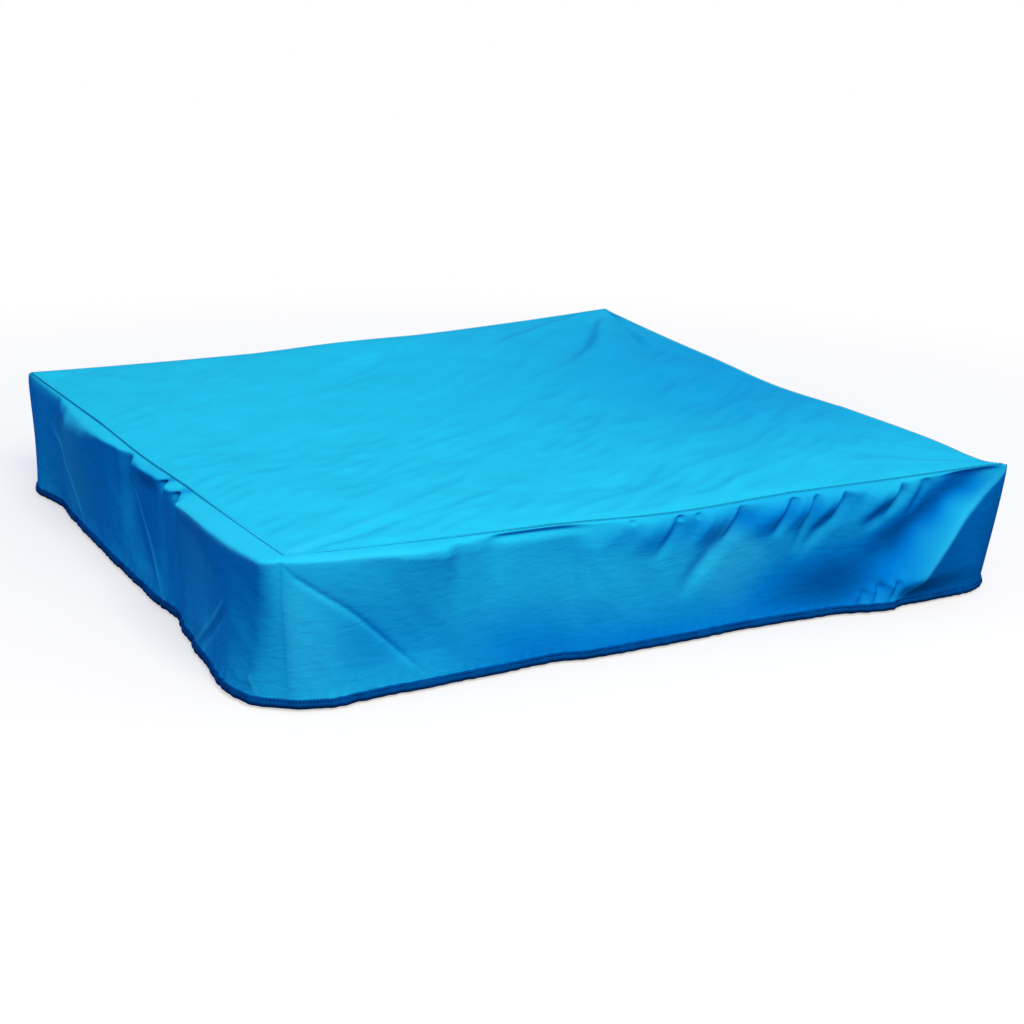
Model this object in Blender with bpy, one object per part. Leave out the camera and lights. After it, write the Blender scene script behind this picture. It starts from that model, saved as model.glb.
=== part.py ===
"""A square wooden sandbox and the fitted cloth cover that is drawn over it, in metres, +Z up.

The origin lies on the ground under the middle of the box. The front looks along -Y. The box is two courses
of tongued boards on four inner posts, with a corner seat on each post. The cover is a top panel, four
skirts and a hem with an elastic cord in it. It lifts straight off.
"""

import math
from collections import namedtuple

import bmesh
import bpy
from mathutils import Vector

# Sandbox: driving dimensions
BOX_SIDE = 1.150
BOARD_THICKNESS = 0.028
COURSE_HEIGHT = 0.088
TONGUE_WIDTH = 0.009
TONGUE_HEIGHT = 0.008
TONGUE_SLACK = 0.0005
BOARD_CHAMFER = 0.003
POST_SIDE = 0.045
POST_CHAMFER = 0.008
SEAT_LEG = 0.300
SEAT_TIP = 0.045
SEAT_THICKNESS = 0.020
SEAT_CORNER_RADIUS = 0.014
SEAT_EDGE_RADIUS = 0.004
LINER_THICKNESS = 0.001
LINER_INSET = 0.002
SAND_DEPTH = 0.088
SAND_RELIEF = 0.014

# Wood screws
SCREW_HEAD_RADIUS = 0.0050
SCREW_HEAD_HEIGHT = 0.0042
SCREW_SHANK_RADIUS = 0.0025
SCREW_LENGTH = 0.055
SCREW_TIP = 0.007
SCREW_SUNK = 0.0006
SCREW_SIDES = 8
SEAT_SCREW_REACH = 0.190

# Cover: driving dimensions
COVER_EASE = 0.050
SHEET_THICKNESS = 0.0012
SEAM_BOW = 0.006
SAG_DEPTH = 0.030
SHOULDER_LEAST = 0.012
SHOULDER_DROP = 0.040
HEM_HEIGHT = 0.013
HEM_WIDTH = 0.0075
HEM_WALL = 0.0012
HEM_CLEAR_OF_GROUND = 0.003
ELASTIC_RADIUS = 0.0022

# Clearance between pieces that touch
GAP = 0.0003

# Facets
SKIRT_STATIONS = 36
HEM_STATIONS = 22
TOP_CELLS = 20
SAND_CELLS = 14
ELASTIC_SIDES = 6

# Each corner of the cover, counted anticlockwise from the near left one. shift is how far the seam's
# corner stands out of the square, rise how far above the seats, and reach how far along the sides before
# and after it that is felt, in shares of a side. hem_radius rounds the hem under it.
Corner = namedtuple("Corner", "sign shift rise reach hem_radius")
COVER_CORNERS = (
    Corner((-1, -1), (-0.001, -0.012), 0.010, (0.42, 0.42), 0.105),
    Corner((1, -1), (0.004, 0.008), 0.002, (0.42, 0.42), 0.090),
    Corner((1, 1), (0.006, 0.012), 0.026, (0.42, 0.80), 0.060),
    Corner((-1, 1), (0.000, -0.006), 0.003, (0.42, 0.42), 0.130),
)

# Each side of the cover, from one corner to the next. hem_stands is how far the hem stands out of the
# square, and middle_rise how far the middle of the seam lies above the seats.
Side = namedtuple("Side", "name outward hem_stands middle_rise")
COVER_SIDES = (
    Side("front", (0, -1), 0.028, -0.006),
    Side("right", (1, 0), 0.004, -0.005),
    Side("back", (0, 1), 0.012, 0.004),
    Side("left", (-1, 0), 0.025, -0.004),
)

# Main folds of the skirts: straight ridges from a point near the seam to one near the hem. The first of
# each pair is the way along the side in shares of its length, the second the way down in shares.
Fold = namedtuple("Fold", "side top foot width height")
COVER_FOLDS = (
    Fold("front", (0.02, 0.10), (0.20, 0.95), 0.035, -0.010),
    Fold("front", (0.08, 0.10), (0.27, 0.95), 0.050, 0.008),
    Fold("front", (0.55, 0.12), (0.51, 0.60), 0.030, 0.009),
    Fold("front", (0.70, 0.12), (0.64, 0.70), 0.032, 0.010),
    Fold("front", (0.80, 0.12), (0.75, 0.65), 0.030, 0.010),
    Fold("front", (0.93, 0.20), (0.80, 0.95), 0.045, -0.014),
    Fold("front", (0.99, 0.15), (0.87, 1.00), 0.040, 0.020),
    Fold("right", (0.25, 0.12), (0.30, 0.70), 0.040, 0.010),
    Fold("right", (0.55, 0.12), (0.50, 0.75), 0.040, 0.009),
    Fold("right", (0.95, 0.20), (0.84, 0.95), 0.045, 0.012),
    Fold("back", (0.05, 0.20), (0.16, 0.95), 0.045, 0.012),
    Fold("back", (0.45, 0.12), (0.42, 0.70), 0.040, 0.010),
    Fold("back", (0.75, 0.12), (0.80, 0.75), 0.040, 0.009),
    Fold("left", (0.10, 0.15), (0.20, 0.95), 0.035, 0.010),
    Fold("left", (0.48, 0.15), (0.66, 0.95), 0.030, 0.010),
    Fold("left", (0.80, 0.30), (0.87, 1.00), 0.085, 0.040),
    Fold("left", (0.98, 0.20), (0.93, 0.95), 0.030, 0.008),
)

# Sizes that follow from those above
COVER_SIDE = BOX_SIDE + COVER_EASE
HALF_BOX = BOX_SIDE / 2
INNER_HALF = HALF_BOX - BOARD_THICKNESS
LINER_TOP = LINER_THICKNESS + GAP
WALL_TOP = LINER_TOP + 2 * COURSE_HEIGHT + GAP
SEAT_BASE = WALL_TOP + GAP
SEAT_TOP = SEAT_BASE + SEAT_THICKNESS
COVER_REST = SEAT_TOP + GAP + SHEET_THICKNESS / 2
HEM_TOP = HEM_CLEAR_OF_GROUND + HEM_HEIGHT
SKIRT_FOOT = HEM_TOP + GAP
SEAT_SPAN = SEAT_LEG + COVER_EASE + COVER_SIDE / TOP_CELLS
SKIRT_ROWS = (0.0, 0.035, 0.10, 0.22, 0.42, 0.70, 1.0)
CORNER_SIGNS = ((-1, -1), (1, -1), (1, 1), (-1, 1))
CORNER_NAMES = ("near_left", "near_right", "far_right", "far_left")


def clear_scene():
    for old in list(bpy.data.objects):
        bpy.data.objects.remove(old)


def material(name, colour, roughness, metallic=0.0):
    made = bpy.data.materials.new(name)
    made.use_nodes = True
    shader = made.node_tree.nodes["Principled BSDF"]
    shader.inputs["Base Color"].default_value = (*colour, 1.0)
    shader.inputs["Roughness"].default_value = roughness
    shader.inputs["Metallic"].default_value = metallic
    return made


def add_object(name, shape, finish, parent, smooth_angle=None):
    """Turns a bmesh into a named object under its parent empty."""
    bmesh.ops.recalc_face_normals(shape, faces=shape.faces)
    mesh = bpy.data.meshes.new(name)
    shape.to_mesh(mesh)
    shape.free()
    if smooth_angle is not None:
        mesh.shade_smooth()
        mesh.set_sharp_from_angle(angle=smooth_angle)
    made = bpy.data.objects.new(name, mesh)
    made.data.materials.append(finish)
    made.parent = parent
    bpy.context.scene.collection.objects.link(made)
    return made


def add_empty(name):
    made = bpy.data.objects.new(name, None)
    bpy.context.scene.collection.objects.link(made)
    return made


def cut(target, cutter):
    """Cuts one helper mesh, of as many separate bodies as it holds, out of the target."""
    cutter.hide_render = True
    cutter.display_type = "WIRE"
    tool = target.modifiers.new("holes", "BOOLEAN")
    tool.operation = "DIFFERENCE"
    tool.object = cutter


def extrude_outline(points, along):
    """A prism: the closed outline, as points in space, pushed along a vector."""
    shape = bmesh.new()
    face = shape.faces.new([shape.verts.new(p) for p in points])
    pushed = bmesh.ops.extrude_face_region(shape, geom=[face])
    moved = [v for v in pushed["geom"] if isinstance(v, bmesh.types.BMVert)]
    bmesh.ops.translate(shape, verts=moved, vec=along)
    return shape


def grid_shell(outer, inner, closed=False):
    """A closed skin between two like grids of points. A closed grid joins its last row to its first."""
    shape = bmesh.new()
    skins = [[[shape.verts.new(p) for p in row] for row in grid] for grid in (outer, inner)]
    rows, columns = len(outer), len(outer[0])
    for skin in skins:
        for i in range(rows if closed else rows - 1):
            for j in range(columns - 1):
                after = (i + 1) % rows
                shape.faces.new((skin[i][j], skin[after][j], skin[after][j + 1], skin[i][j + 1]))
    for i in range(rows if closed else rows - 1):
        after = (i + 1) % rows
        for j in (0, columns - 1):
            shape.faces.new((skins[0][i][j], skins[0][after][j], skins[1][after][j], skins[1][i][j]))
    if not closed:
        for i in (0, rows - 1):
            for j in range(columns - 1):
                shape.faces.new((skins[0][i][j], skins[0][i][j + 1], skins[1][i][j + 1], skins[1][i][j]))
    return shape


# Sandbox


def course_profile(upper):
    """A board's section, as (depth from its outer face, height): the lower course carries the tongue."""
    depth, height, chamfer = BOARD_THICKNESS, COURSE_HEIGHT, BOARD_CHAMFER
    slack = TONGUE_SLACK if upper else 0.0
    near = (depth - TONGUE_WIDTH) / 2 - slack
    far = depth - near
    rise = TONGUE_HEIGHT + slack
    ends = [(chamfer, 0), (0, chamfer), (0, height - chamfer), (chamfer, height)]
    back = [(depth - chamfer, height), (depth, height - chamfer), (depth, chamfer), (depth - chamfer, 0)]
    if upper:
        return ends + back + [(far, 0), (far, rise), (near, rise), (near, 0)]
    return ends + [(near, height), (near, height + rise), (far, height + rise), (far, height)] + back


def wall_board(side, course, finish, parent):
    """One board of a wall. Those of the front and the back run through, and the others butt between."""
    outward = Vector((*side.outward, 0))
    along = Vector((-outward.y, outward.x, 0))
    runs_through = outward.y != 0
    length = BOX_SIDE if runs_through else BOX_SIDE - 2 * (BOARD_THICKNESS + GAP)
    foot = LINER_TOP + course * (COURSE_HEIGHT + GAP)
    start = outward * HALF_BOX - along * length / 2 + Vector((0, 0, foot))
    outline = [start - outward * depth + Vector((0, 0, z)) for depth, z in course_profile(course == 1)]
    name = f"{side.name}_board_{('lower', 'upper')[course]}"
    return add_object(name, extrude_outline(outline, along * length), finish, parent)


def corner_post(sign, name, finish, parent):
    """A square post in the inner corner, with its free edge taken off."""
    sx, sy = sign
    edge = INNER_HALF - GAP
    inner = edge - POST_SIDE
    plan = [
        (edge, edge),
        (inner, edge),
        (inner, inner + POST_CHAMFER),
        (inner + POST_CHAMFER, inner),
        (edge, inner),
    ]
    outline = [Vector((sx * x, sy * y, LINER_TOP)) for x, y in plan]
    height = WALL_TOP - LINER_TOP
    return add_object(f"post_{name}", extrude_outline(outline, Vector((0, 0, height))), finish, parent)


def corner_seat(sign, name, finish, parent):
    """A triangular seat board with its outer corner rounded and its two sharp ends cut square."""
    sx, sy = sign
    edge, radius = HALF_BOX, SEAT_CORNER_RADIUS
    turns = [math.radians(a) for a in (0, 30, 60, 90)]
    centre = edge - radius
    plan = [(centre + radius * math.cos(a), centre + radius * math.sin(a)) for a in turns]
    plan += [
        (edge - SEAT_LEG, edge),
        (edge - SEAT_LEG, edge - SEAT_TIP),
        (edge - SEAT_TIP, edge - SEAT_LEG),
        (edge, edge - SEAT_LEG),
    ]
    outline = [Vector((sx * x, sy * y, SEAT_BASE)) for x, y in plan]
    seat = add_object(
        f"seat_{name}", extrude_outline(outline, Vector((0, 0, SEAT_THICKNESS))), finish, parent
    )
    edges = seat.modifiers.new("eased edges", "BEVEL")
    edges.width = SEAT_EDGE_RADIUS
    edges.segments = 2
    edges.limit_method = "ANGLE"
    edges.angle_limit = math.radians(40)
    return seat


def screw_rings(slack=0.0):
    """A countersunk screw's outline, (depth below the wood's face, radius), or its hole's with slack."""
    head, shank = SCREW_HEAD_RADIUS + slack, SCREW_SHANK_RADIUS + slack
    rings = [
        (SCREW_SUNK, head),
        (SCREW_SUNK + SCREW_HEAD_HEIGHT + slack, shank),
        (SCREW_LENGTH - SCREW_TIP, shank),
        (SCREW_LENGTH + 2 * slack, shank * 0.2 + slack),
    ]
    return [(-SCREW_LENGTH / 8, head), *rings] if slack else rings


def add_screw_shape(shape, at, inwards, rings):
    """A turned screw, or the hole for one, added to a bmesh."""
    inwards = Vector(inwards)
    across = inwards.orthogonal().normalized()
    up = inwards.cross(across)
    loops = []
    for depth, radius in rings:
        turns = [2 * math.pi * i / SCREW_SIDES for i in range(SCREW_SIDES)]
        loops.append(
            [
                shape.verts.new(at + inwards * depth + (across * math.cos(a) + up * math.sin(a)) * radius)
                for a in turns
            ]
        )
    for first, second in zip(loops, loops[1:]):
        for i in range(SCREW_SIDES):
            j = (i + 1) % SCREW_SIDES
            shape.faces.new((first[i], first[j], second[j], second[i]))
    shape.faces.new(loops[0])
    shape.faces.new(loops[-1])


def fasten(name, at, inwards, held, holes, finish, parent):
    """One screw through the pieces named in held. Its hole is noted for each of them."""
    shape = bmesh.new()
    add_screw_shape(shape, Vector(at), inwards, screw_rings())
    add_object(name, shape, finish, parent, math.radians(35))
    for piece in held:
        holes.setdefault(piece, []).append((Vector(at), inwards))


def drill(holes, finish, parent):
    """Cuts the screws' holes, with clearance, in every piece that they go through."""
    for piece, places in holes.items():
        shape = bmesh.new()
        for at, inwards in places:
            add_screw_shape(shape, at, inwards, screw_rings(GAP))
        cutter = add_object(f"{piece}.holes", shape, finish, parent)
        cut(bpy.data.objects[piece], cutter)


def fasten_box(steel, parent):
    """Wall screws run from each board's end into its post, and seat screws into the posts and boards."""
    holes = {}
    inset = BOARD_THICKNESS + POST_SIDE / 2
    for corner, (sx, sy) in zip(CORNER_NAMES, CORNER_SIGNS):
        faces = {("front", "back")[sy > 0]: (0, -sy, 0), ("left", "right")[sx > 0]: (-sx, 0, 0)}
        for wall, inwards in faces.items():
            for course, level in enumerate(("lower", "upper")):
                height = LINER_TOP + COURSE_HEIGHT * (course + 0.5) + (course - 0.5) * 2 * SCREW_SHANK_RADIUS
                stagger = 0.18 * POST_SIDE * (1 if inwards[0] else -1)
                along = HALF_BOX - inset
                place = (
                    (sx * HALF_BOX, sy * along, height + stagger)
                    if inwards[0]
                    else (sx * along, sy * HALF_BOX, height + stagger)
                )
                name = f"screw_{corner}_{wall}_{level}"
                held = f"{wall}_board_{level}", f"post_{corner}"
                fasten(name, place, inwards, held, holes, steel, parent)
        seat = f"seat_{corner}"
        middle = HALF_BOX - BOARD_THICKNESS / 2
        reach = HALF_BOX - SEAT_SCREW_REACH
        front, flank = faces
        seat_places = {
            "front": ((sx * reach, sy * middle), f"{front}_board_upper"),
            "flank": ((sx * middle, sy * reach), f"{flank}_board_upper"),
        }
        for place, (spot, board) in seat_places.items():
            name = f"screw_{seat}_{place}"
            fasten(name, (*spot, SEAT_TOP), (0, 0, -1), (seat, board), holes, steel, parent)
    drill(holes, steel, parent)


def ground_liner(finish, parent):
    half = HALF_BOX - LINER_INSET
    outline = [Vector((sx * half, sy * half, 0)) for sx, sy in CORNER_SIGNS]
    shape = extrude_outline(outline, Vector((0, 0, LINER_THICKNESS)))
    return add_object("ground_liner", shape, finish, parent)


def sand_level(x, y):
    """The sand's raked surface: a hollow to dig in, and a heap towards one corner."""
    a, b = x / INNER_HALF, y / INNER_HALF
    swell = math.sin(2.3 * a + 0.7) * math.cos(1.9 * b - 0.4) + 0.5 * math.sin(3.7 * b + 2.1 * a)
    return LINER_TOP + SAND_DEPTH + SAND_RELIEF * 0.6 * swell


def sand_fill(finish, parent):
    """The sand bed, with its corners left out where the posts stand."""
    edge = INNER_HALF - GAP
    notch = edge - POST_SIDE - 2 * GAP
    steps = [-notch + 2 * notch * i / SAND_CELLS for i in range(SAND_CELLS + 1)]
    lines = [-edge, *steps, edge]
    last = len(lines) - 2
    shape = bmesh.new()
    base = LINER_TOP + GAP
    tops = [[shape.verts.new((x, y, sand_level(x, y))) for y in lines] for x in lines]
    feet = [[shape.verts.new((x, y, base)) for y in lines] for x in lines]
    kept = {
        (i, j) for i in range(last + 1) for j in range(last + 1) if not (i in (0, last) and j in (0, last))
    }
    for i, j in kept:
        for skin in (tops, feet):
            shape.faces.new((skin[i][j], skin[i + 1][j], skin[i + 1][j + 1], skin[i][j + 1]))
        borders = {
            (i - 1, j): ((i, j), (i, j + 1)),
            (i + 1, j): ((i + 1, j), (i + 1, j + 1)),
            (i, j - 1): ((i, j), (i + 1, j)),
            (i, j + 1): ((i, j + 1), (i + 1, j + 1)),
        }
        for beyond, ((a, b), (c, d)) in borders.items():
            if beyond not in kept:
                shape.faces.new((tops[a][b], tops[c][d], feet[c][d], feet[a][b]))
    loose = [v for v in shape.verts if not v.link_faces]
    bmesh.ops.delete(shape, geom=loose, context="VERTS")
    return add_object("sand_fill", shape, finish, parent, math.radians(40))


# Cover


def corner_point(index):
    """Where two of the cover's top seams meet."""
    corner = COVER_CORNERS[index % 4]
    sx, sy = corner.sign
    dx, dy = corner.shift
    half = COVER_SIDE / 2
    return Vector((sx * (half + dx), sy * (half + dy), COVER_REST + corner.rise))


def fade(share, reach):
    """1 at a corner, falling smoothly to 0 where the seam no longer feels it."""
    left = max(0.0, 1.0 - share / reach)
    return left * left


def seam_point(index, u):
    """A point of the top seam, u along the side from its first corner."""
    side = COVER_SIDES[index]
    first, second = corner_point(index), corner_point(index + 1)
    outward = Vector((*side.outward, 0))
    point = first.lerp(second, u) - outward * SEAM_BOW * 4 * u * (1 - u)
    held = SEAT_SPAN / COVER_SIDE
    free = max(0.0, (min(u, 1 - u) - held) / (0.5 - held))
    start, stop = COVER_CORNERS[index], COVER_CORNERS[(index + 1) % 4]
    rises = start.rise * fade(u, start.reach[1]) + stop.rise * fade(1 - u, stop.reach[0])
    point.z = COVER_REST + rises + side.middle_rise * math.sin(free * math.pi / 2) ** 2
    return point


def hem_point(index, u):
    """A point of the hem's rounded outline on the ground plan, and the way that it faces."""
    half = COVER_SIDE / 2
    side = COVER_SIDES[index]
    outward = Vector((*side.outward, 0))
    along = Vector((-outward.y, outward.x, 0))
    before, after = COVER_SIDES[index - 1], COVER_SIDES[(index + 1) % 4]
    first_radius = COVER_CORNERS[index].hem_radius
    second_radius = COVER_CORNERS[(index + 1) % 4].hem_radius
    start = -(half + before.hem_stands) + first_radius
    end = half + after.hem_stands - second_radius
    arcs = first_radius * math.pi / 4, second_radius * math.pi / 4
    travel = u * (arcs[0] + (end - start) + arcs[1])
    base = outward * (half + side.hem_stands)
    if travel < arcs[0]:
        turn = -(arcs[0] - travel) / first_radius
        centre, radius = base - outward * first_radius + along * start, first_radius
    elif travel > arcs[0] + end - start:
        turn = (travel - arcs[0] - (end - start)) / second_radius
        centre, radius = base - outward * second_radius + along * end, second_radius
    else:
        return base + along * (start + travel - arcs[0]), outward
    facing = outward * math.cos(turn) + along * math.sin(turn)
    return centre + facing * radius, facing


def fold_height(side_name, u, v):
    """How far the skirt's folds push it out at a point. They die away at the seam and the side seams."""
    height = 0.0
    for fold in COVER_FOLDS:
        if fold.side != side_name:
            continue
        (u_top, v_top), (u_foot, v_foot) = fold.top, fold.foot
        way = min(1.0, max(0.0, (v - v_top) / (v_foot - v_top)))
        ridge = u_top + (u_foot - u_top) * way
        spread = (u - ridge) * COVER_SIDE / fold.width
        height += fold.height * math.exp(-spread * spread) * math.sin(math.pi * (0.12 + 0.76 * way))
    calm = min(1.0, v / 0.2) * min(1.0, 12 * u) * min(1.0, 12 * (1 - u))
    return height * calm


def skirt_point(index, u, v):
    """A point of the skirt's middle surface, v down from the seam, and the way its side faces there."""
    seam = seam_point(index, u)
    hem, facing = hem_point(index, u)
    seam += facing * (GAP + SHEET_THICKNESS / 2)
    stands = (hem - seam).dot(facing)
    sideways = hem - seam - facing * stands
    sideways.z = 0
    shoulder = max(stands, SHOULDER_LEAST)
    fall = seam.z - SKIRT_FOOT
    rounded = SHOULDER_DROP / fall
    if v < rounded:
        turn = math.acos(1 - v / rounded)
        out = shoulder * math.sin(turn)
    else:
        out = shoulder + (stands - shoulder) * (v - rounded) / (1 - rounded)
    out += fold_height(COVER_SIDES[index].name, u, v)
    point = seam + facing * out + sideways * v
    point.z = seam.z - fall * v
    return point, facing


def skin_offset(points, facings, j):
    """The way out of a skirt's skin at row j of one station, square to its profile."""
    before, after = points[max(j - 1, 0)], points[min(j + 1, len(points) - 1)]
    way = after - before
    facing = facings[j]
    if j == 0:
        return Vector((0, 0, 1))
    out = facing * -way.z + Vector((0, 0, 1)) * way.dot(facing)
    return out.normalized()


def end_shares():
    """The shares of a side at which its skirt starts and ends, clear of its neighbours."""
    short = GAP / COVER_SIDE
    return short, 1 - short


def skirt(index, finish, parent):
    start, end = end_shares()
    outer, inner = [], []
    for i in range(SKIRT_STATIONS + 1):
        even = i / SKIRT_STATIONS
        share = even - 0.045 * math.sin(4 * math.pi * even)
        u = start + (end - start) * share
        made = [skirt_point(index, u, v) for v in SKIRT_ROWS]
        points, facings = [m[0] for m in made], [m[1] for m in made]
        half = SHEET_THICKNESS / 2
        offsets = [skin_offset(points, facings, j) * half for j in range(len(points))]
        outer.append([p + o for p, o in zip(points, offsets)])
        inner.append([p - o for p, o in zip(points, offsets)])
    name = f"cover_skirt_{COVER_SIDES[index].name}"
    return add_object(name, grid_shell(outer, inner), finish, parent, math.radians(60))


def panel_level(x, y, edge_level):
    """The top panel's middle surface: it rests on the seats and sags between them."""
    corner_way = COVER_SIDE - abs(x) - abs(y)
    free = max(0.0, corner_way - SEAT_SPAN - SEAT_TIP - COVER_SIDE / TOP_CELLS)
    sag = SAG_DEPTH * free * free / (free * free + SEAT_LEG * SEAT_LEG)
    inside = min(1.0, 4 * (1 - max(abs(x), abs(y)) / (COVER_SIDE / 2)))
    level = edge_level - sag * inside
    return level if free > 0 else max(level, COVER_REST)


def cover_top(finish, parent):
    """The top panel, stretched between its four seams."""
    rows = [i / TOP_CELLS for i in range(TOP_CELLS + 1)]
    near = [seam_point(0, s) for s in rows]
    right = [seam_point(1, t) for t in rows]
    far = [seam_point(2, 1 - s) for s in rows]
    left = [seam_point(3, 1 - t) for t in rows]
    outer, inner = [], []
    lift = Vector((0, 0, SHEET_THICKNESS / 2))
    for i, s in enumerate(rows):
        upper, lower = [], []
        for j, t in enumerate(rows):
            across = near[i].lerp(far[i], t)
            down = left[j].lerp(right[j], s)
            flat = near[0].lerp(near[-1], s).lerp(far[0].lerp(far[-1], s), t)
            point = across + down - flat
            on_seam = i in (0, TOP_CELLS) or j in (0, TOP_CELLS)
            if not on_seam:
                ease = min(s, 1 - s, t, 1 - t) * 4
                rest = COVER_REST + (point.z - COVER_REST) * max(0.0, 1 - ease) ** 2
                point.z = panel_level(point.x, point.y, rest)
            upper.append(point + lift)
            lower.append(point - lift)
        outer.append(upper)
        inner.append(lower)
    return add_object("cover_top", grid_shell(outer, inner), finish, parent, math.radians(60))


def hem_section(half_width, half_height):
    """The six corners of the hem's section, or of the channel in it, as (out, up)."""
    flat = half_width * 0.55
    return (
        (flat, half_height),
        (half_width, 0),
        (flat, -half_height),
        (-flat, -half_height),
        (-half_width, 0),
        (-flat, half_height),
    )


def hem_centre(index, u):
    """The middle of the hem, under the skirt's foot."""
    point, facing = skirt_point(index, u, 1.0)
    point.z = HEM_CLEAR_OF_GROUND + HEM_HEIGHT / 2
    return point, facing


def hem(index, finish, parent):
    """One side's hem: the skirt's cloth turned back on itself, open at both ends for the elastic."""
    start, end = end_shares()
    sections = (
        hem_section(HEM_WIDTH / 2, HEM_HEIGHT / 2),
        hem_section(HEM_WIDTH / 2 - HEM_WALL, HEM_HEIGHT / 2 - HEM_WALL),
    )
    skins = ([], [])
    for i in range(HEM_STATIONS + 1):
        even = i / HEM_STATIONS
        share = even - 0.065 * math.sin(4 * math.pi * even)
        centre, facing = hem_centre(index, start + (end - start) * share)
        for skin, section in zip(skins, sections):
            skin.append([centre + facing * out + Vector((0, 0, up)) for out, up in section])
    outer, inner = ([list(ring) for ring in zip(*skin)] for skin in skins)
    shape = grid_shell(outer, inner, closed=True)
    name = f"cover_hem_{COVER_SIDES[index].name}"
    return add_object(name, shape, finish, parent, math.radians(60))


def hem_elastic(finish, parent):
    """The elastic cord, one ring all the way round inside the hem."""
    shape = bmesh.new()
    rings = []
    for index in range(4):
        for i in range(HEM_STATIONS):
            even = i / HEM_STATIONS
            share = even - 0.065 * math.sin(4 * math.pi * even)
            centre, facing = hem_centre(index, share)
            turns = [2 * math.pi * k / ELASTIC_SIDES for k in range(ELASTIC_SIDES)]
            ways = [facing * math.cos(a) + Vector((0, 0, math.sin(a))) for a in turns]
            ring = [centre + way * ELASTIC_RADIUS for way in ways]
            rings.append([shape.verts.new(p) for p in ring])
    for first, second in zip(rings, rings[1:] + rings[:1]):
        for k in range(ELASTIC_SIDES):
            after = (k + 1) % ELASTIC_SIDES
            shape.faces.new((first[k], first[after], second[after], second[k]))
    return add_object("hem_elastic", shape, finish, parent, math.radians(60))


def build_box():
    parent = add_empty("sandbox")
    pine = material("pine boards", (0.62, 0.42, 0.22), 0.65)
    sand = material("play sand", (0.72, 0.58, 0.38), 0.95)
    fleece = material("liner fleece", (0.05, 0.05, 0.055), 0.9)
    steel = material("zinc screws", (0.62, 0.60, 0.55), 0.35, 1.0)
    ground_liner(fleece, parent)
    for side in COVER_SIDES:
        for course in (0, 1):
            wall_board(side, course, pine, parent)
    for name, sign in zip(CORNER_NAMES, CORNER_SIGNS):
        corner_post(sign, name, pine, parent)
        corner_seat(sign, name, pine, parent)
    sand_fill(sand, parent)
    fasten_box(steel, parent)


def build_cover():
    parent = add_empty("cover")
    cloth = material("blue coated polyester", (0.01, 0.40, 0.80), 0.45)
    binding = material("blue hem", (0.01, 0.22, 0.58), 0.55)
    rubber = material("elastic cord", (0.75, 0.75, 0.73), 0.8)
    cover_top(cloth, parent)
    for index in range(4):
        skirt(index, cloth, parent)
        hem(index, binding, parent)
    hem_elastic(rubber, parent)


clear_scene()
build_box()
build_cover()
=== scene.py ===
"""Dresses a square wooden sandbox and the blue cloth cover that is drawn over it.

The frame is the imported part. The cover's cloth, hem, seam and stitching, the sand and the screws are made
here. The boards, posts, seats and liner keep their own shapes and get their finishes here.
"""

import math
import random
from collections import namedtuple

import bpy
import numpy as np
from mathutils import Euler, Matrix, Vector


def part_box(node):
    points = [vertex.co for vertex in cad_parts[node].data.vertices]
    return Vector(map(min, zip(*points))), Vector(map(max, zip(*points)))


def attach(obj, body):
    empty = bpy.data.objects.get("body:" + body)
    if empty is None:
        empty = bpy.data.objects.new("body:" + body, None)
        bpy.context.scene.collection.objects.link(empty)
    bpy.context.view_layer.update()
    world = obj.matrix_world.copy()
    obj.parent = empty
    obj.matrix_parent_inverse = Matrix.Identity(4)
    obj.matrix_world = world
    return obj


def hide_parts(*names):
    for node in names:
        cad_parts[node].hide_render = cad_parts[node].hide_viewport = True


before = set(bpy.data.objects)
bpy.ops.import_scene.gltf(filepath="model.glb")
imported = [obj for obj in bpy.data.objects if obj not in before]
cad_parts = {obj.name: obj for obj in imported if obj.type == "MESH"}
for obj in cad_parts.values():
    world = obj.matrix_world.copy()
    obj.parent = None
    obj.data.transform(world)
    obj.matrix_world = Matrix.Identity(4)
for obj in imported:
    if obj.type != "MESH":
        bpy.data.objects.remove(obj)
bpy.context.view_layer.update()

bl_info = {
    "name": "Covered Sandbox",
    "version": (1, 0, 0),
    "blender": (4, 5, 0),
    "location": "View3D > Sidebar > Sandbox",
    "description": "Cloth, timber, sand and stage for a square sandbox with a fitted cover",
    "category": "Object",
}

MM = 0.001

# The way from which light is painted into the cover's colour, and how much painted light the sky gives
PAINTED_LIGHT_WAY = (0.0, -0.5, 1.0)
PAINTED_SKY_LIGHT = 0.25

# The cover's plan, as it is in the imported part
COVER_SIDE = 1.200
SEAM_BOW = 6 * MM
PINCH_PLACE = 0.045
SAG = 0.030
SEAT_TIP = 0.045
SEAT_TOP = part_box("seat_near_left")[1].z
BOX_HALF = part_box("front_board_upper")[1].x
SEAT_LEG = BOX_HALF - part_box("seat_near_right")[0].x
SEAT_SPAN = (SEAT_LEG + COVER_SIDE / 2 - BOX_HALF + 0.06) / COVER_SIDE
SEAT_EDGE = 2 * BOX_HALF - SEAT_LEG - SEAT_TIP
HEM_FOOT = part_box("cover_hem_front")[0].z
HEM_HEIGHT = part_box("cover_hem_front")[1].z - HEM_FOOT
CLOTH_REST = SEAT_TOP + 0.9 * MM
SKIRT_FOOT = HEM_FOOT + 0.8 * HEM_HEIGHT

# About how far a skirt falls, and how much of its cloth shows
SKIRT_FALL = 0.185
SKIRT_CLOTH = 0.19

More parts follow.
